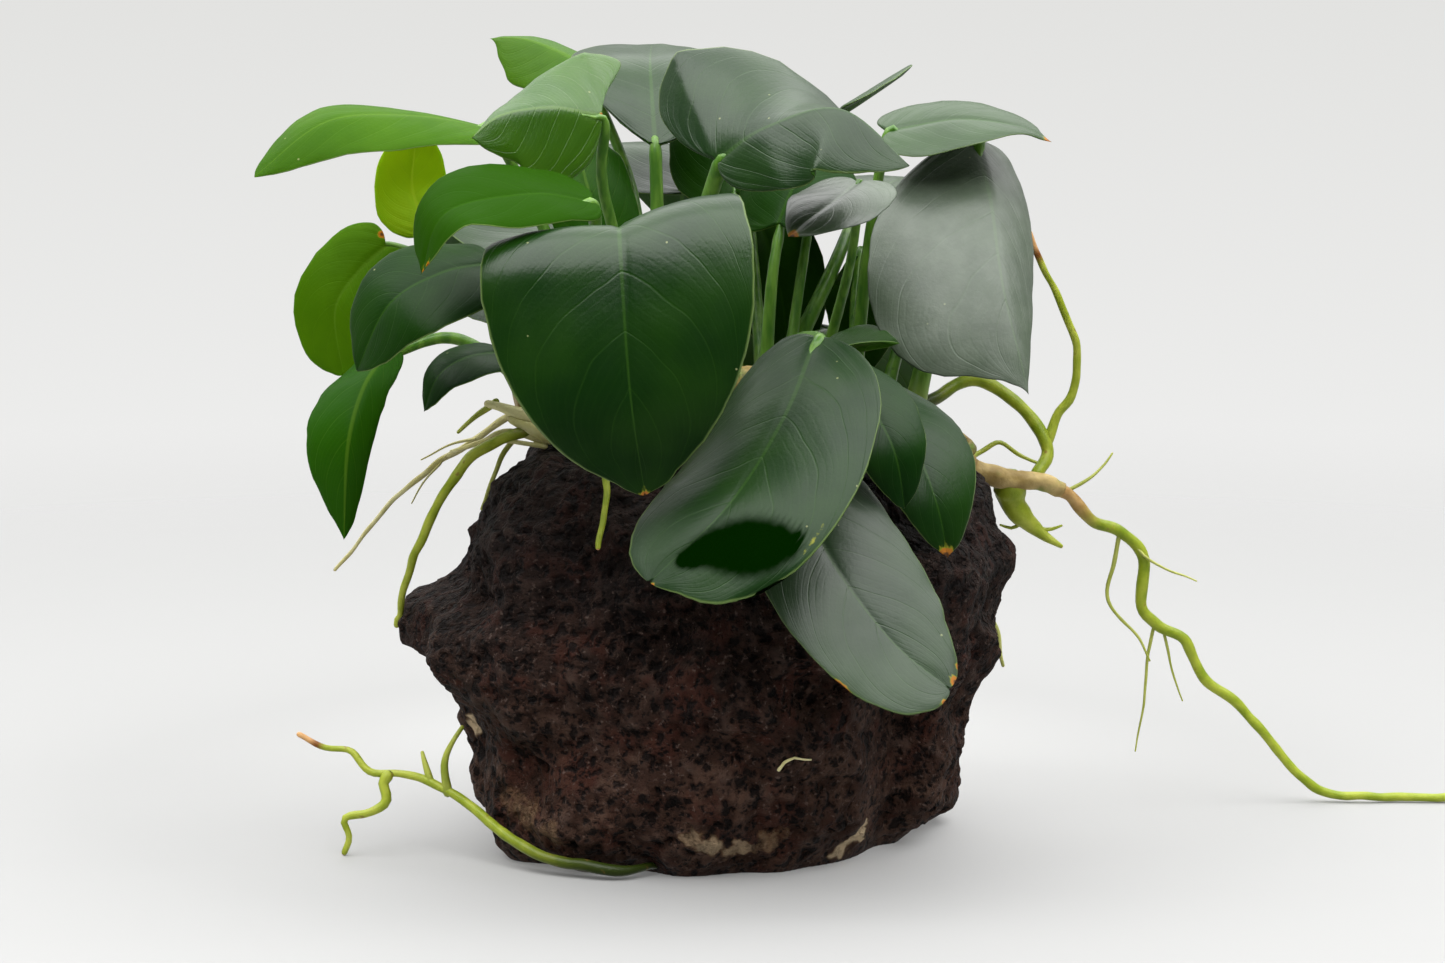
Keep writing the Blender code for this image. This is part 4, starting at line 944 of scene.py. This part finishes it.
    leaf("leaf_back_left", "mature",
         midrib=((-21, 19, 79), (-27, 29, 83), (-33, 38, 80), (-37, 44, 71)),
         face=((-0.3, 0.3, 0.9), (-0.5, 0.7, 0.4)), halves=(12, 12), stalk=((-9, 11, 60), (-17, 14, 72)),
         thick=1.2, tint=0.2),
    leaf("leaf_back_low_right", "mature",
         midrib=((18, 25, 66), (21, 34, 64), (24, 40, 55), (25, 41, 44)),
         face=((0.3, 0.5, 0.8), (0.3, 0.9, 0.1)), halves=(10, 10), stalk=((12, 10, 60), (15, 18, 65)),
         thick=1.1, tint=0.4),
    leaf("leaf_back_low_middle", "mature",
         midrib=((0, 27, 68), (0, 38, 65), (-1, 43, 55), (-2, 43, 42)), face=((0, 0.6, 0.8), (0, 1, 0)),
         halves=(11.5, 11.5), stalk=((2, 10, 60), (2, 18, 67)), thick=1.2, tint=0.2,
         spots=((0.55, 1.0, 0.9),)),
    leaf("leaf_back_low_left", "fresh",
         midrib=((-14, 24, 64), (-18, 33, 62), (-20, 38, 55), (-21, 39, 45)),
         face=((-0.2, 0.6, 0.8), (-0.3, 0.95, 0.1)), halves=(9, 9), stalk=((-8, 12, 60), (-12, 17, 64)),
         tint=0.3),
    leaf("leaf_right_back", "mature",
         midrib=((30, 15, 76), (36, 21, 78), (41, 26, 73), (43, 29, 65)),
         face=((0.3, 0.2, 0.9), (0.9, 0.3, 0.3)), halves=(9.5, 9.5), stalk=((24, 4, 57), (28, 11, 70)),
         tint=0.35),
    leaf("leaf_left_back", "mature",
         midrib=((-23, 14, 69), (-30, 19.5, 73), (-36, 23.5, 72), (-40, 25.5, 66)),
         face=((-0.3, 0, 0.95), (-0.8, 0.3, 0.4)), halves=(8, 8),
         stalk=((-20.5, -4.5, 60), (-20.5, 4.5, 62.5)), tint=0.3, spots=((1.0, 0.0, 0.9),)),
    leaf("leaf_inner_left", "fresh",
         midrib=((-13.5, 1, 79), (-15.5, 3.5, 86), (-17, 8, 91), (-18, 14, 94)),
         face=((-0.3, -0.7, 0.6), (-0.2, -0.3, 0.9)), halves=(6, 6), stalk=((-11, -3, 60), (-12, -1, 70)),
         tint=-0.2, sheen=0.2),
    leaf("leaf_inner_back", "mature",
         midrib=((4, 13, 86), (5, 18, 94), (7, 26, 99), (10, 34, 98)),
         face=((0, -0.5, 0.8), (0.2, 0.3, 0.9)), halves=(10, 10), stalk=((4, 1, 60), (4, 8, 74)), thick=1.1,
         tint=0.3, sheen=0.2),
    leaf("leaf_inner_right", "mature",
         midrib=((10, 3, 82), (13, 7, 88), (18, 10, 91), (24, 11, 89)),
         face=((-0.4, -0.5, 0.7), (0.2, -0.3, 0.9)), halves=(9, 9), stalk=((8, 0, 60), (9, 1, 74)),
         tint=0.3, sheen=0.2),
    # This leaf and the next are lightened by their tint: painted light against the shade of the leaves
    # around them.
    leaf("leaf_inner_low", "mature",
         midrib=((7, 20, 82), (9, 22.5, 77), (11, 23.5, 69), (11.5, 23.5, 60)),
         face=((0.1, -0.7, 0.7), (0, -1, 0)), halves=(7.5, 7.5), stalk=((8, 7.5, 60), (7, 14, 72)),
         tint=0.7, sheen=0.2),
    leaf("leaf_inner_deep", "mature",
         midrib=((22, 14.5, 77), (22.4, 17, 73), (22.6, 18.5, 67), (22.6, 18.5, 60)),
         face=((0.1, -0.7, 0.7), (0, -1, 0)), halves=(5, 6), stalk=((21, 3.5, 58), (20.5, 8.5, 68)),
         tint=0.7, sheen=0.2),
)


def blade_relief(s, share, away, edge, seed, points):
    """(lift of both faces, extra depth of the underside) in millimetres."""
    start = s + VEIN_ARCH * np.log(1 - VEIN_REACH * np.abs(share))
    quilt = QUILT_HEIGHT * np.cos(2 * math.pi * VEINS * start) * smooth_step(0.6, 3.0, away) * (1 - share**4)
    groove = -GROOVE_DEPTH * np.exp(-((away / GROOVE_WIDTH) ** 2)) * np.clip(1.15 - s, 0, 1)
    swell = SWELL_HEIGHT * rough(points.reshape(-1, 3), SWELL_SIZE, seed).reshape(s.shape)
    ripple = RIPPLE_HEIGHT * rough(points.reshape(-1, 3), RIPPLE_SIZE, seed + 5).reshape(s.shape) * share**6
    rib = RIB_HEIGHT * np.exp(-((away / RIB_WIDTH) ** 2)) * np.clip(1.02 - s, 0, 1) ** 0.8
    return (groove - quilt + swell + ripple) * edge, rib * edge


def marked(marks, u, share, points):
    """How near each point is to the nearest mark: 1 at its centre, 0 at its radius and beyond."""
    nearness = np.zeros(share.shape)
    for along, across, radius in marks:
        nearest = np.argmin((u - along) ** 2 + (share - across) ** 2)
        centre = points.reshape(-1, 3)[nearest]
        away = np.linalg.norm(points - centre, axis=-1)
        nearness = np.maximum(nearness, min(1.0, radius / 0.6) * (1 - away / radius))
    return nearness


def leaf_materials(leaf, made):
    """The leaf's upper and lower material, which leaves with the same tone and sheen share."""
    tone, sheen, dark_reflection_places = leaf["tone"], leaf["sheen"], bool(leaf["dark_reflection_places"])
    if (tone, sheen, dark_reflection_places) not in made:
        face, back = LEAF_COLOURS[tone]
        upper = leaf_face(tone + "_face", sheen, dark_reflection_places, *face)
        made[tone, sheen, dark_reflection_places] = upper, leaf_back(tone + "_back", sheen, *back)
    return made[tone, sheen, dark_reflection_places]


def make_leaf(leaf, seed, made, stalk_skin):
    """The fine blade and its stalk, in the place of the leaf's solid."""
    blade = Blade(leaf)
    rows = max(40, round(blade.length / BLADE_ROW))
    points, s, share, away, u = blade.grid(rows, BLADE_COLUMNS)
    outwards = unit(np.gradient(points, axis=1)) * np.sign(share)[..., None]
    flat = points.reshape(-1, 3)
    uneven = 0.5 * rough(flat, 4.5, seed + 3) + 0.3 * rough(flat, 1.8, seed + 4)
    points = points + outwards * (MARGIN_WAVE * uneven.reshape(s.shape) * np.abs(share) ** 3)[..., None]
    normals = grid_normals(points)
    edge = np.clip(14 * u, 0, 1) * np.clip(14 * (1 - u), 0, 1)
    lift, rib = blade_relief(s, share, away, edge, seed, points)
    half = BLADE_HALF_THICKNESS * np.sqrt(np.clip(1 - np.abs(share) ** 7, 0, 1)) * edge
    upper = points + normals * (lift + half)[..., None]
    lower = points + normals * (lift - half - rib)[..., None]
    faces, upper_count = blade_faces(rows, BLADE_COLUMNS)
    inner = (slice(1, -1), slice(1, -1))

    def both(above, below):
        shape = (-1, *above.shape[2:])
        return np.concatenate((above.reshape(shape), below[inner].reshape(shape)))

    place = np.stack((np.clip(s, 0.0, 1.2), share, away), axis=-1)
    brown = marked(leaf["spots"], u, share, points)
    # The places of the painted dark reflection.
    dark = marked(leaf["dark_reflection_places"], u, share, points)
    body = Shape()
    body.add(both(upper, lower), faces, 0, place=both(place, place), brown=both(brown, brown),
             dark=both(dark, dark), tint=leaf["tint"], film=leaf["film"], along=0.0)
    body.slots[upper_count:] = [1] * (len(faces) - upper_count)
    add_stalk(body, blade, leaf, seed)
    wanted = [*leaf_materials(leaf, made), stalk_skin]
    body.make("fine_" + leaf["name"], wanted, leaf["name"], "leaf_" + leaf["tone"])


def add_stalk(body, blade, leaf, seed):
    """The stalk: wider and sheathed at the rhizome, with a slight knee below the blade."""
    notch, ahead, face = (part[()] for part in blade.on_midrib(np.array(0.0)))
    thick = leaf["thick"]
    thin = STALK_TAPER * thick
    under_rib = [blade.on_midrib(np.array(place)) for place in STALK_ENDS]
    inside = [point[()] - normal[()] * (thin * 0.75) for point, _, normal in under_rib]
    before_notch = notch - face * (thin + 0.1) - ahead * 0.6
    path = evenly(smooth_path((*leaf["stalk"], before_notch, *inside), ROUTE_STEP), TUBE_STEP)
    length = distances(path)[-1]
    share = distances(path) / length
    sheath = 1 + SHEATH_SWELL * np.exp(-((share / SHEATH_REACH) ** 2))
    knee = 1 + KNEE_SWELL * np.exp(-(((share - 1 + KNEE_BELOW / max(length, 12.0)) / KNEE_REACH) ** 2))
    end = 1 - 0.65 * smooth_step(1 - 6.0 / length, 1.0, share)
    radii = thick * (1 + (STALK_TAPER - 1) * share) * sheath * knee * end
    points, faces, along = tube(path, radii, STALK_SIDES, blunt=False)
    points = swollen(points, path, STALK_SIDES, 0.05 * rough(points, 1.6, seed + 9))
    zero = np.zeros((len(points), 3))
    body.add(points, faces, 2, place=zero, brown=0.0, dark=0.0, tint=0.0, film=0.0, along=along)


# ---------------------------------------------------------------- rhizome and roots


def stem(name, thick, thin, *route):
    """One creeping stem in millimetres: its radius at the start and at the end, and its route."""
    return dict(name=name, thick=thick, thin=thin, route=route)


def root(name, thick, thin, *route, side_roots=(), **looks):
    """One root in millimetres: its radius at the start and at the end, and its route.

    The route starts inside the stem or the root that it grows from. looks are add_root's.
    side_roots: for each, the radius at its start, how cream it is, and its route.
    """
    return dict(name=name, thick=thick, thin=thin, route=route, side_roots=side_roots, looks=looks)


RHIZOMES = (
    stem("rhizome", 3.0, 2.4,
         (-25, -6, 59), (-20, -5, 60), (-8, -3, 60), (6, 0, 60), (18, 2, 58), (28, 4, 54.5), (35, 6.5, 50)),
    stem("rhizome_end", 1.7, 1.15,
         (33.4, 6.2, 50.8), (35.6, 6.9, 49.2), (37.5, 7.5, 47.8), (42, 8.5, 46.8), (46.5, 9.5, 46.2),
         (49.2, 10.5, 45)),
    stem("rhizome_back_left", 2.2, 1.8, (-2.4, 0.5, 60), (-3, 3, 60), (-5, 8, 60), (-10, 12, 60)),
    stem("rhizome_back_right", 2.2, 1.8, (5.6, 2.0, 60), (7, 5.5, 60), (10, 9, 60), (13, 11.5, 59)),
)
ROOTS = (
    root("root_right_long", 0.9, 0.55,
         (47.5, 10.2, 45.4), (50.5, 11.5, 44), (53.7, 12.5, 40.3), (57.8, 13.5, 38.6), (61, 14, 34.8),
         (60.8, 14.3, 28.2), (63, 14.5, 25.4), (67, 14.8, 23.2), (70, 15, 17.8), (74.5, 15, 14.2),
         (79.5, 15, 8.8), (83.5, 15, 4), (88, 15, 1.3), (94, 15, 0.9), (102, 15, 0.8), (110, 15, 0.75),
         bark=1.0, bright=0.1, side_roots=(
             (0.3, 0.2, (50.0, 11.4, 44.6), (51.8, 12.2, 45.4), (54.4, 13.2, 47.2), (56.6, 14, 49.8)),
             (0.36, 0.2, (57.6, 13.5, 38.5), (57.1, 14, 34), (56.2, 14, 29.0), (60.7, 14, 23.4),
              (62.2, 14, 20.5)),
             (0.27, 0.2, (62.8, 14.5, 25.5), (62.3, 15, 21.8), (61.6, 15, 14), (60.4, 15, 7.5)),
             (0.24, 0.2, (64, 14.6, 24.8), (65.2, 15, 19), (66.9, 15, 14.7)),
             (0.26, 0.3, (59, 13.6, 37.6), (62.0, 13, 34.7), (68.3, 12.5, 31.8)))),
    root("root_right_rising", 0.7, 0.4,
         (47.4, 12.6, 51.5), (48.8, 13, 55), (50.8, 13.2, 58), (51.2, 12.5, 64.5), (49.4, 12, 69.5),
         (46.5, 11, 75.3), (44.2, 10, 80.4), tip=0.16, bright=0.3),
    root("root_right_loop", 0.9, 0.9,
         (28, 5.5, 54.8), (29, 7.8, 56.6), (32.5, 12, 58), (37, 14, 60), (41.5, 14, 58.2), (45.5, 13.3, 54),
         (47.2, 12, 49.8), (45.6, 10, 47), dim=0.4, side_roots=(
             (0.45, 0.1, (36, 8.5, 49.0), (37.6, 11, 50.2), (40.7, 12, 51.6), (43.5, 12, 49.6),
              (47, 11.6, 48.4)),)),
    root("root_right_wedge", 2.3, 0.3,
         (42.0, 9.8, 45.6), (42.3, 10.6, 44), (42.7, 10.8, 42.4), (44.2, 11, 40.6), (46.3, 10.8, 38.9),
         (49.2, 10.5, 37), bright=0.3, side_roots=(
             (0.35, 0.0, (44.2, 11, 40.8), (42.6, 11, 39.6), (40.9, 11, 39.9)),
             (0.4, 0.0, (45.5, 10.9, 39.6), (47.2, 11, 39.4), (49.2, 11, 40.0)))),
    root("root_left_tan", 0.55, 0.25,
         (-24, -5, 58.8), (-25.5, -2.3, 57), (-31, 0, 53), (-37, 2, 49), (-44, 4, 42.5), (-50.5, 5, 34.5),
         pale=0.95, side_roots=(
             (1.2, 0.9, (-20.5, -8.5, 56.0), (-23.5, -8.8, 57.2), (-26, -8.4, 58.0), (-28.6, -7.4, 58.5)),
             (1.35, 0.8, (-20, -9, 54.6), (-23, -9.4, 55.6), (-25.2, -9.0, 56.6)),
             (0.5, 0.15, (-27.6, -7, 58.9), (-30, -6.6, 57.2), (-32.6, -6, 54.8)),
             (0.55, 0.9, (-21, -9, 53.8), (-24, -9.2, 54.8), (-27.5, -8, 54.6), (-30.5, -5, 53),
              (-34, -1, 51.4)),
             (0.38, 0.8, (-21, -9.4, 53.2), (-24.5, -9.8, 53.9), (-28, -8.6, 53.6), (-32, -5, 51.2)),
             (0.22, 0.9, (-31, -0.4, 53.2), (-34.4, 0.2, 52.4), (-38.2, 1, 50.2)),
             (0.2, 0.9, (-35.5, 1.4, 50.1), (-38.2, 0.6, 47.0), (-39.6, 0.2, 44.4)),
             (0.5, 0.3, (-24, -6, 55.6), (-26.6, -6.4, 52), (-28.4, -6.6, 48), (-29.4, -6.6, 44.4)))),
    root("root_left_green", 0.85, 0.45,
         (-21.5, -6, 58.5), (-22, -8.2, 55.8), (-26.5, -10.5, 54.3), (-30.5, -11.5, 52), (-34, -12, 47.5),
         (-37, -11.5, 41.5), (-39.5, -9, 36), (-41, -6, 29), dim=0.25, bright=0.25),
    root("root_lower_left", 0.95, 0.38,
         (-4, -25, 1.5), (-9, -30.4, 1.3), (-14, -30.8, 1.6), (-20.4, -28.4, 2.4), (-25, -25.3, 4),
         (-29, -21.6, 6.6), (-32.3, -18.8, 8.4), (-36, -17, 9.8), (-40, -16, 10.6), (-44, -15, 10.6),
         (-46.5, -14, 13.2), (-50, -14, 13.8), (-53.5, -14, 15.6),
         tip=0.07, buried=0.7, dim=0.5, bright=0.2, side_roots=(
             (0.6, 0.1, (-36, -16.9, 9.9), (-36.5, -16.5, 11.5), (-36.9, -16, 13.4)),
             (0.62, 0.1, (-33.6, -18, 8.6), (-33.9, -18.2, 12), (-32.9, -18, 15), (-31.7, -17.2, 17.2)))),
    root("root_lower_left_branch", 0.75, 0.4,
         (-41.6, -16.1, 10.4), (-42.2, -16.4, 9.2), (-41.8, -17, 7), (-44.3, -17.5, 5.8), (-47.4, -17.5, 5),
         (-46.6, -17.5, 2.4), (-47.2, -17.5, 0.6), bright=0.3),
    # Its side root is the loose pale fibre on the stone's front.
    root("root_front_short", 0.75, 0.35,
         (-13, -4.5, 59.5), (-13, -7.5, 58), (-13, -16, 57), (-12.6, -24, 54), (-12.3, -29, 49),
         (-13, -32.5, 43), side_roots=(
             (0.24, 1.0, (9.5, -34.2, 15.0), (10.3, -34.6, 16.1), (11.5, -34.3, 16.5), (12.4, -34.0, 16.2),
              (13.4, -33.6, 16.1)),)),
    root("root_right_short", 0.7, 0.25,
         (34.6, 8.5, 49.5), (34, 16, 46), (37.5, 16, 38), (39, 14, 30), (40.5, 12.5, 25), (41.5, 12, 20),
         pale=0.4),
    root("root_back_left", 0.95, 0.4,
         (-9.8, 12, 59.6), (-11.5, 15.5, 58), (-15, 24, 52), (-18, 31, 42), (-16, 34, 30), (-20, 34, 19)),
    root("root_back_right", 0.95, 0.4,
         (12.8, 11.5, 58.8), (15, 14.5, 57), (18, 22, 52), (18, 31, 42), (23, 32, 32), (21, 33, 22)),
)


def off_the_stone(path, radii, tree):
    """The path, moved out where the tube would sink into the stone or the floor."""
    moved = []
    for centre, radius in zip(path, radii):
        near, normal, _, distance = tree.find_nearest(Vector(centre))
        inside = normal.dot(Vector(centre) - near) < 0
        depth = -distance if inside else distance
        if depth < radius * PRESSED:
            centre = np.array(near + normal * radius * PRESSED)
        moved.append((centre[0], centre[1], max(centre[2], radius)))
    return np.array(moved)


def make_rhizome(measures, seed, tree, material):
    """A creeping stem with the rings of old leaf bases."""
    thick, thin = measures["thick"], measures["thin"]
    path = evenly(smooth_path(measures["route"], ROUTE_STEP), RHIZOME_STEP)
    along = distances(path)
    shifted = along + 0.6 * rough(path, 3.0, seed)
    ring = np.exp(-((np.mod(shifted, RING_GAP) - RING_GAP / 2) / RING_WIDTH) ** 2)
    radii = (thick + (thin - thick) * along / along[-1]) * (1.0 - RING_DEPTH * ring)
    path = off_the_stone(path, radii, tree)
    points, faces, _ = tube(path, radii, RHIZOME_SIDES, blunt=False)
    amount = 0.45 * rough(points, 3.4, seed) + 0.15 * rough(points, 1.1, seed + 3)
    points = swollen(points, path, RHIZOME_SIDES, amount)
    patchy = 0.4 + 0.6 * rough(points, 2.5, seed + 6)
    body = Shape()
    body.add(points, faces, 0, ring=np.repeat(ring, RHIZOME_SIDES) * patchy)
    body.make("fine_" + measures["name"], [material], measures["name"], "rhizome")


def add_root(body, route, thick, thin, sides, seed, tree,
             pale=0.0, bright=0.0, bark=0.0, dim=0.001, tip=0.001, buried=0.0):
    """One root, slightly uneven, that thins to a rounded tip.

    pale: how cream it is. bright: how much lighter its green is at the start. bark: how tan its start
    is. dim and tip: the share of its length that is dark at the start, painted shade where the stone and
    the leaves shade it, and orange at the tip. buried: how much thinner it starts, where it comes out
    from under the stone.
    """
    path = evenly(smooth_path(route, ROUTE_STEP), TUBE_STEP)
    share = distances(path) / distances(path)[-1]
    radii = thick + (thin - thick) * share
    wobble = np.stack([rough(path, ROOT_BEND, seed + k) for k in range(3)], axis=1)
    path = path + wobble * ROOT_WANDER * smooth_step(0.0, 0.1, share)[:, None]
    radii = radii * (1 + ROOT_UNEVEN * rough(path, ROOT_LUMP, seed + 4))
    radii = radii * (1 - buried * smooth_step(0.22, 0.0, share))
    clear = smooth_step(0.0, 0.08 if buried else 0.01, share)[:, None]
    path = path + clear * (off_the_stone(path, radii, tree) - path)
    path[:, 2] = np.maximum(path[:, 2], radii)
    points, faces, along = tube(path, radii, sides)
    along = np.clip(along, 0.0, 1.0)
    body.add(points, faces, 0, pale=pale,
             bright=np.clip(bright + 0.3 * along, 0.0, 1.0),
             bark=bark * smooth_step(0.13, 0.06, along),
             dim=smooth_step(dim, 0.4 * dim, along),
             tipward=np.maximum(1.0 + (along - 1.0) / tip, 0.0))


def make_root(measures, seed, side_seed, tree, material):
    """The fine root and its side roots, in the place of the root's solid."""
    body = Shape()
    add_root(body, measures["route"], measures["thick"], measures["thin"], ROOT_SIDES, seed, tree,
             **measures["looks"])
    for order, (thick, cream, *route) in enumerate(measures["side_roots"]):
        add_root(body, route, thick, thick * SIDE_ROOT_TAPER, SIDE_ROOT_SIDES, side_seed + order, tree,
                 pale=cream, bright=0.25)
    body.make("fine_" + measures["name"], [material], measures["name"], "root")


# ---------------------------------------------------------------- stage


def make_camera():
    data = bpy.data.cameras.new("photo_camera")
    data.lens = CAMERA_LENS
    data.sensor_width = CAMERA_SENSOR
    data.clip_start, data.clip_end = CAMERA_CLIP
    camera = bpy.data.objects.new("photo_camera", data)
    tilt = math.radians(CAMERA_ELEVATION)
    back = np.array((0.0, -math.cos(tilt), math.sin(tilt)))
    camera.location = (np.array(CAMERA_AIM) + back * CAMERA_DISTANCE) * MM
    camera.rotation_euler = (math.radians(90) - tilt, 0.0, 0.0)
    bpy.context.scene.collection.objects.link(camera)
    bpy.context.scene.camera = camera


def make_boxes():
    for name, place, size, power in BOXES:
        data = bpy.data.lights.new(name, "AREA")
        data.shape = "RECTANGLE"
        data.size, data.size_y = size
        data.energy = power
        box = bpy.data.objects.new(name, data)
        box.location = place
        bpy.context.scene.collection.objects.link(box)


def make_room():
    """The dim room, brighter behind the plant, and the backdrop that only the camera sees."""
    world = bpy.data.worlds.new("studio")
    world.use_nodes = True
    bpy.context.scene.world = world
    bpy.context.scene.view_settings.view_transform = "Standard"
    graph = Graph(world.node_tree)
    room = graph.nodes["Background"]
    _, depth, height = graph.parts(graph.node("TexCoord").outputs["Generated"])
    graph.put(room.inputs["Color"], ROOM_COLOUR)
    graph.put(room.inputs["Strength"], graph.spread(depth, -0.5, 0.7, ROOM_FRONT, ROOM_BACK))
    rise = graph.node("MapRange", {"Value": height, "From Min": -0.15, "From Max": 0.03})
    shade = graph.mix(rise.outputs[0], BACKDROP_LOW, BACKDROP_HIGH)
    backdrop = graph.node("Background", {"Color": shade})
    seen = graph.node("LightPath").outputs["Is Camera Ray"]
    chosen = graph.node("MixShader", {0: seen, 1: room.outputs[0], 2: backdrop.outputs[0]})
    graph.put(graph.nodes["World Output"].inputs["Surface"], chosen.outputs[0])


def make_floor():
    """A pale floor that fades into the backdrop with the distance from the stone.

    It glows a little around the stone, painted light that softens the shadow beside it.
    """
    bpy.ops.mesh.primitive_circle_add(vertices=96, radius=FLOOR_RADIUS, fill_type="NGON")
    floor = bpy.context.object
    floor.name = "floor"
    skin = Material("pale_floor", 0.6)
    reach = skin.node("VectorMath", {0: skin.place}, operation="LENGTH").outputs["Value"]
    away = skin.node("VectorMath", {0: skin.place, 1: GLOW_CENTRE}, operation="DISTANCE").outputs["Value"]
    skin.set(Base_Color=FLOOR_SHADE, Specular_IOR_Level=0.1,
             Alpha=skin.spread(reach, FLOOR_CLEAR / MM, FLOOR_GONE / MM, 1.0, 0.0),
             Emission_Color=ROOM_COLOUR, Emission_Strength=skin.spread(away, *GLOW_RANGE, GLOW, 0.0))
    floor.data.materials.append(skin.material)
    floor.visible_glossy = False


def main():
    make_camera()
    make_boxes()
    make_room()
    make_floor()
    stone = make_stone(stone_material())
    corners = [corner.co / MM for corner in stone.data.vertices]
    tree = BVHTree.FromPolygons(corners, [tuple(face.vertices) for face in stone.data.polygons])
    rhizome_skin, root_skin, stalk_skin = rhizome_material(), root_material(), stalk_material()
    for number, measures in enumerate(RHIZOMES):
        make_rhizome(measures, 40 + 7 * number, tree, rhizome_skin)
    for number, measures in enumerate(ROOTS):
        make_root(measures, 80 + 9 * number, 300 + 10 * number, tree, root_skin)
    made = {}
    for number, measures in enumerate(LEAVES):
        make_leaf(measures, 20 + 13 * number, made, stalk_skin)


main()
